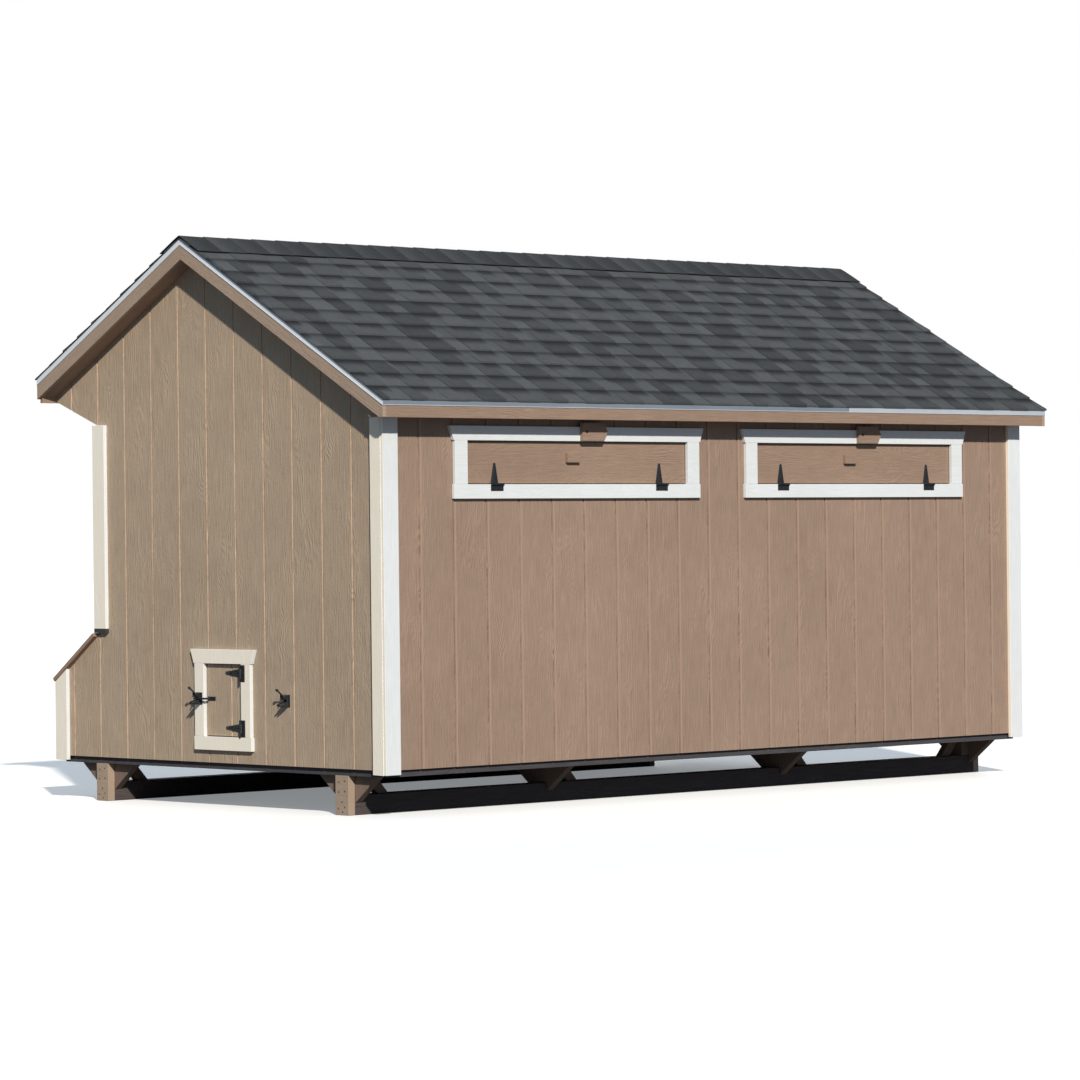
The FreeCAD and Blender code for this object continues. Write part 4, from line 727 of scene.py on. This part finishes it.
for end, face in (("near", rake_low.x), ("far", rake_high.x)):
    for slope, tip in (("rear", rake_low.y), ("front", rake_high.y)):
        hem(f"rake_hem_{end}_{slope}", (face, ridge_y, hem_peak), (face, tip, hem_height(tip)))
for slope, face in (("rear", eave_low.y), ("front", eave_high.y)):
    height = hem_height(face) + EAVE_HEM_UP
    hem(f"eave_hem_{slope}", (eave_low.x, face, height), (eave_high.x, face, height))

# The rear eave's edging is in two lengths: the second laps over the first.
LAP_START = 0.77
LAP_PROUD = 0.0008
LAP_UP = 0.001
LAP_HEIGHT = 0.0255
bpy.ops.object.select_all(action="DESELECT")
lap_low = Vector((LAP_START, eave_low.y - LAP_PROUD, hem_height(eave_low.y) + LAP_UP))
lap_high = Vector((eave_high.x, eave_low.y, lap_low.z + LAP_HEIGHT))
bpy.ops.mesh.primitive_cube_add(size=1, location=(lap_low + lap_high) / 2, scale=lap_high - lap_low)
lap = bpy.context.object
lap.name = "eave_edging_lap"
bpy.ops.object.transform_apply(location=True, rotation=True, scale=True)
rolled = lap.modifiers.new("rolled", "BEVEL")
rolled.width = LAP_PROUD / 3
bpy.ops.object.modifier_apply(modifier="rolled")
lap.data.materials.append(hem_metal)
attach(lap, "house")


# ---- Hardware ---------------------------------------------------------------------------------------
# Stamped steel tee hinges, forked gravity catches, a slide bolt and a pull, all black powder coat.

HARDWARE_EDGE = 0.0005
black, tree, shader, point = new_material("black_powder_coat", 0.42)
wear_and_sheen = weathering_and_sheen(tree, point, 30.0)
coat_colour = blend(tree, wear_and_sheen, (0.008, 0.008, 0.009), (0.022, 0.022, 0.024))
tree.links.new(coat_colour, shader.inputs["Base Color"])
tree.links.new(maths(tree, "MULTIPLY_ADD", wear_and_sheen, 0.3, 0.25), shader.inputs["Roughness"])
orange_peel = add(tree, "ShaderNodeTexNoise", {"Vector": point, "Scale": 900.0, "Detail": 2.0})
relief_from(tree, shader, orange_peel.outputs["Fac"], 0.25, 0.0005)
for name in (
    "hinge_leaves", "vent_straps_left", "vent_straps_right", "bird_door_straps", "entry_door_straps",
    "lid_straps_left", "lid_straps_right", "striker_bar", "catch_bodies", "door_catch_pawl",
    "holdback_catch_pawl", "bolt_guides", "bolt_keeper", "slide_bolt", "entry_pull", "button_screws",
):
    eased(name, HARDWARE_EDGE, black, "black_iron", segments=1)

# The catches' levers end in a ball.
KNOB = 0.0068
for name in ("door_catch_pawl", "holdback_catch_pawl"):
    low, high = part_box(name)
    lever = bpy.data.objects[name + "_finished"]
    bpy.ops.object.select_all(action="DESELECT")
    bpy.ops.mesh.primitive_uv_sphere_add(
        segments=20, ring_count=12, radius=KNOB,
        location=(low.x + KNOB, (low.y + high.y) / 2, high.z - KNOB),
    )
    ball = bpy.context.object
    bpy.ops.object.shade_smooth()
    ball.data.materials.append(black)
    lever.select_set(True)
    bpy.context.view_layer.objects.active = lever
    bpy.ops.object.join()

# Pan-head screws: three along each hinge plate, and two or three down each strap.
SCREW_R = 0.0042
SCREW_FLATTENED = 0.45
bpy.ops.object.select_all(action="DESELECT")
bpy.ops.mesh.primitive_uv_sphere_add(segments=12, ring_count=8, radius=SCREW_R)
screw = bpy.context.object
screw.name = "screw_head"
bpy.ops.object.mode_set(mode="EDIT")
bpy.ops.mesh.select_all(action="SELECT")
bpy.ops.transform.resize(value=(1, 1, SCREW_FLATTENED))
bpy.ops.mesh.select_all(action="SELECT")
bpy.ops.mesh.bisect(plane_co=(0, 0, 0), plane_no=(0, 0, 1), clear_inner=True, use_fill=True)
bpy.ops.object.mode_set(mode="OBJECT")
bpy.ops.object.shade_smooth_by_angle(angle=math.radians(40))
screw.data.materials.append(black)


def drive(name, body, outward, places):
    """Screws at the places, each with its head facing outward, joined as one piece."""
    turn = Vector(outward).to_track_quat("Z", "Y").to_matrix().to_4x4()
    heads = []
    for place in places:
        head = screw.copy()
        head.data = screw.data.copy()
        bpy.context.collection.objects.link(head)
        head.data.transform(Matrix.Translation(place) @ turn)
        heads.append(head)
    row = joined(heads, name)
    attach(row, body)


BARREL = 0.005
HALF_PLATE = 0.023
PLATE_SCREWS = (-0.031, 0, 0.031)
PLATE_SCREW_OUT = 0.020
VENT_STRAP_SCREWS = (0.034, 0.076)
BIRD_STRAP_SCREWS = (0.045, 0.100)
ENTRY_STRAP_SCREWS = (0.05, 0.11, 0.17)
CASING_THICK = 0.019
LEAF_THICK = 0.0025
SUNK = 0.0005
PROUD = LEAF_THICK - SUNK

plate_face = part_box("vent_casings")[0].y - PROUD
for side in ("left", "right"):
    low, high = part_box(f"vent_straps_{side}")
    pins = (low.x + HALF_PLATE, high.x - HALF_PLATE)
    pin_z = low.z + BARREL
    drive(f"vent_plate_screws_{side}", "house", (0, -1, 0), [
        (x + along, plate_face, pin_z - PLATE_SCREW_OUT) for x in pins for along in PLATE_SCREWS
    ])
    drive(f"vent_strap_screws_{side}", f"vent_flap_{side}", (0, -1, 0), [
        (x, high.y - PROUD, pin_z + up) for x in pins for up in VENT_STRAP_SCREWS
    ])

low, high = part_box("bird_door_straps")
plate_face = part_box("near_gable_siding")[0].x - CASING_THICK - PROUD
pins = (low.z + HALF_PLATE, high.z - HALF_PLATE)
pin_y = low.y + BARREL
drive("bird_plate_screws", "house", (-1, 0, 0), [
    (plate_face, pin_y - PLATE_SCREW_OUT, z + along) for z in pins for along in PLATE_SCREWS
])
drive("bird_strap_screws", "bird_door", (-1, 0, 0), [
    (high.x - PROUD, pin_y + out, z) for z in pins for out in BIRD_STRAP_SCREWS
])

low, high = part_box("entry_door_straps")
plate_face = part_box("far_gable_siding")[1].x + CASING_THICK + PROUD
pins = (low.z + HALF_PLATE, (low.z + high.z) / 2, high.z - HALF_PLATE)
pin_y = low.y + BARREL
drive("entry_plate_screws", "house", (1, 0, 0), [
    (plate_face, pin_y - PLATE_SCREW_OUT, z + along) for z in pins for along in PLATE_SCREWS
])
drive("entry_strap_screws", "entry_door", (1, 0, 0), [
    (low.x + PROUD, pin_y + out, z) for z in pins for out in ENTRY_STRAP_SCREWS
])

# Nails through each board at the near end of the skids, given as shares across and up.
TIMBER = 0.0889
NAILS = (
    (0.3, 0.86), (0.72, 0.83), (0.28, 0.60), (0.74, 0.58),
    (0.5, 0.33), (0.3, 0.2), (0.8, 0.17), (0.45, 0.08),
)
ends_low, ends_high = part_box("skid_end_boards")
for name, start in (("rear", ends_low.y), ("front", ends_high.y - TIMBER)):
    drive(f"skid_nails_{name}", "house", (-1, 0, 0), [
        (ends_low.x + SUNK, start + TIMBER * across, ends_high.z * up) for across, up in NAILS
    ])
bpy.data.objects.remove(screw)


# ---- Vent mesh --------------------------------------------------------------------------------------
# Welded galvanised mesh with 12.7 mm squares, stapled over the vent openings from inside.

MESH_PITCH = 0.0127
WIRE = 0.0007
VENT_SPACING = 1.8745
galvanised, tree, shader, point = new_material("galvanised_wire", 0.45, metallic=0.9)
spangle = add(tree, "ShaderNodeTexVoronoi", {"Vector": point, "Scale": 240.0}).outputs["Distance"]
zinc = blend(tree, spangle, (0.42, 0.43, 0.44), (0.66, 0.67, 0.68))
tree.links.new(zinc, shader.inputs["Base Color"])
mesh_low, mesh_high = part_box("vent_mesh")
sheet_w = (mesh_high.x - mesh_low.x) - VENT_SPACING
wires = []
for left in (mesh_low.x, mesh_high.x - sheet_w):
    for across, count, length, y in (
        (False, int((mesh_high.z - mesh_low.z) / MESH_PITCH), sheet_w, mesh_low.y + WIRE),
        (True, int(sheet_w / MESH_PITCH), mesh_high.z - mesh_low.z, mesh_high.y - WIRE),
    ):
        turn = (0, 0, 0) if across else (0, math.pi / 2, 0)
        place = (
            (left + MESH_PITCH / 2, y, (mesh_low.z + mesh_high.z) / 2) if across
            else (left + sheet_w / 2, y, mesh_low.z + MESH_PITCH / 2)
        )
        bpy.ops.object.select_all(action="DESELECT")
        bpy.ops.mesh.primitive_cylinder_add(
            vertices=6, radius=WIRE, depth=length, location=place, rotation=turn
        )
        bpy.ops.object.transform_apply()
        wire = bpy.context.object
        rows = wire.modifiers.new("rows", "ARRAY")
        rows.use_relative_offset = False
        rows.use_constant_offset = True
        rows.constant_offset_displace = (MESH_PITCH, 0, 0) if across else (0, 0, MESH_PITCH)
        rows.count = count
        bpy.ops.object.modifier_apply(modifier="rows")
        wires.append(wire)
netting = joined(wires, "vent_mesh_wires")
netting.data.materials.append(galvanised)
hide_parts("vent_mesh")
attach(netting, "house")


# ---- Rubber seal ------------------------------------------------------------------------------------
# A strip of matt black flap rubber tacked to the wall above the nest lids.

rubber, tree, shader, point = new_material("flap_rubber", 0.85)
dusty = blend(tree, weathering_and_sheen(tree, point, 12.0), (0.02, 0.02, 0.02), (0.055, 0.053, 0.05))
tree.links.new(dusty, shader.inputs["Base Color"])
coat("rubber_strip", rubber)


# ---- Floor, light and camera ------------------------------------------------------------------------
# A plain pale floor, a key light from the front left, a low soft one from behind, and a pale
# surround as fill. The floor looks nearly white, and throws only a little light back.

bpy.ops.object.select_all(action="DESELECT")
FLOOR_SIZE = 160
UNDER_SKIDS = 0.001
bpy.ops.mesh.primitive_plane_add(size=FLOOR_SIZE)
floor = bpy.context.object
floor.name = "studio_floor"
floor.location.z = -UNDER_SKIDS
pale, tree, shader, point = new_material("pale_floor", 0.9)
looked_at = tree.nodes.new("ShaderNodeLightPath").outputs["Is Camera Ray"]
white_floor = blend(tree, looked_at, (0.13, 0.13, 0.135), (0.95, 0.91, 0.86))
tree.links.new(white_floor, shader.inputs["Base Color"])
lifted = blend(tree, looked_at, (0, 0, 0), (0.9, 0.96, 1.0))
tree.links.new(lifted, shader.inputs["Emission Color"])
shader.inputs["Emission Strength"].default_value = 0.25
floor.data.materials.append(pale)
floor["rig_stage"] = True

surround = bpy.data.worlds.new("surround")
surround.use_nodes = True
sky = surround.node_tree
backdrop = add(sky, "ShaderNodeBackground", {"Color": (1, 1, 1, 1), "Strength": 1.0})
fill = sky.nodes["Background"]
fill.inputs["Color"].default_value = (0.46, 0.70, 1.0, 1)
fill.inputs["Strength"].default_value = 0.30
seen = add(sky, "ShaderNodeMixShader", {
    0: sky.nodes.new("ShaderNodeLightPath").outputs["Is Camera Ray"],
    1: fill.outputs[0], 2: backdrop.outputs[0],
})
sky.links.new(seen.outputs[0], sky.nodes["World Output"].inputs["Surface"])
bpy.context.scene.world = surround
bpy.context.scene.view_settings.view_transform = "Standard"

DAYLIGHT = (1.0, 0.97, 0.92)


def sun(name, energy, spread, heading):
    """Parallel light that travels towards heading, its source as wide as spread in degrees."""
    data = bpy.data.lights.new(name, "SUN")
    data.energy = energy
    data.angle = math.radians(spread)
    data.color = DAYLIGHT
    lamp = bpy.data.objects.new(name, data)
    lamp.rotation_mode = "QUATERNION"
    lamp.rotation_quaternion = Vector(heading).to_track_quat("-Z", "Y")
    bpy.context.collection.objects.link(lamp)


sun("key", 4.2, 1.6, (0.65, 1.0, -0.71))
# The light from behind shows the nest boxes and the tall door, and doesn't reach the front.
sun("back_light", 1.1, 35, (-0.8, -1.0, -0.28))

camera_data = bpy.data.cameras.new("camera")
camera_data.lens = 144.415
camera_data.clip_end = 500
camera = bpy.data.objects.new("camera", camera_data)
camera.location = (-14.738, -15.459, 1.2565)
camera.rotation_euler = (math.radians(89.885), math.radians(0.62), math.radians(-43.407))
bpy.context.collection.objects.link(camera)
bpy.context.scene.camera = camera

low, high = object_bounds()
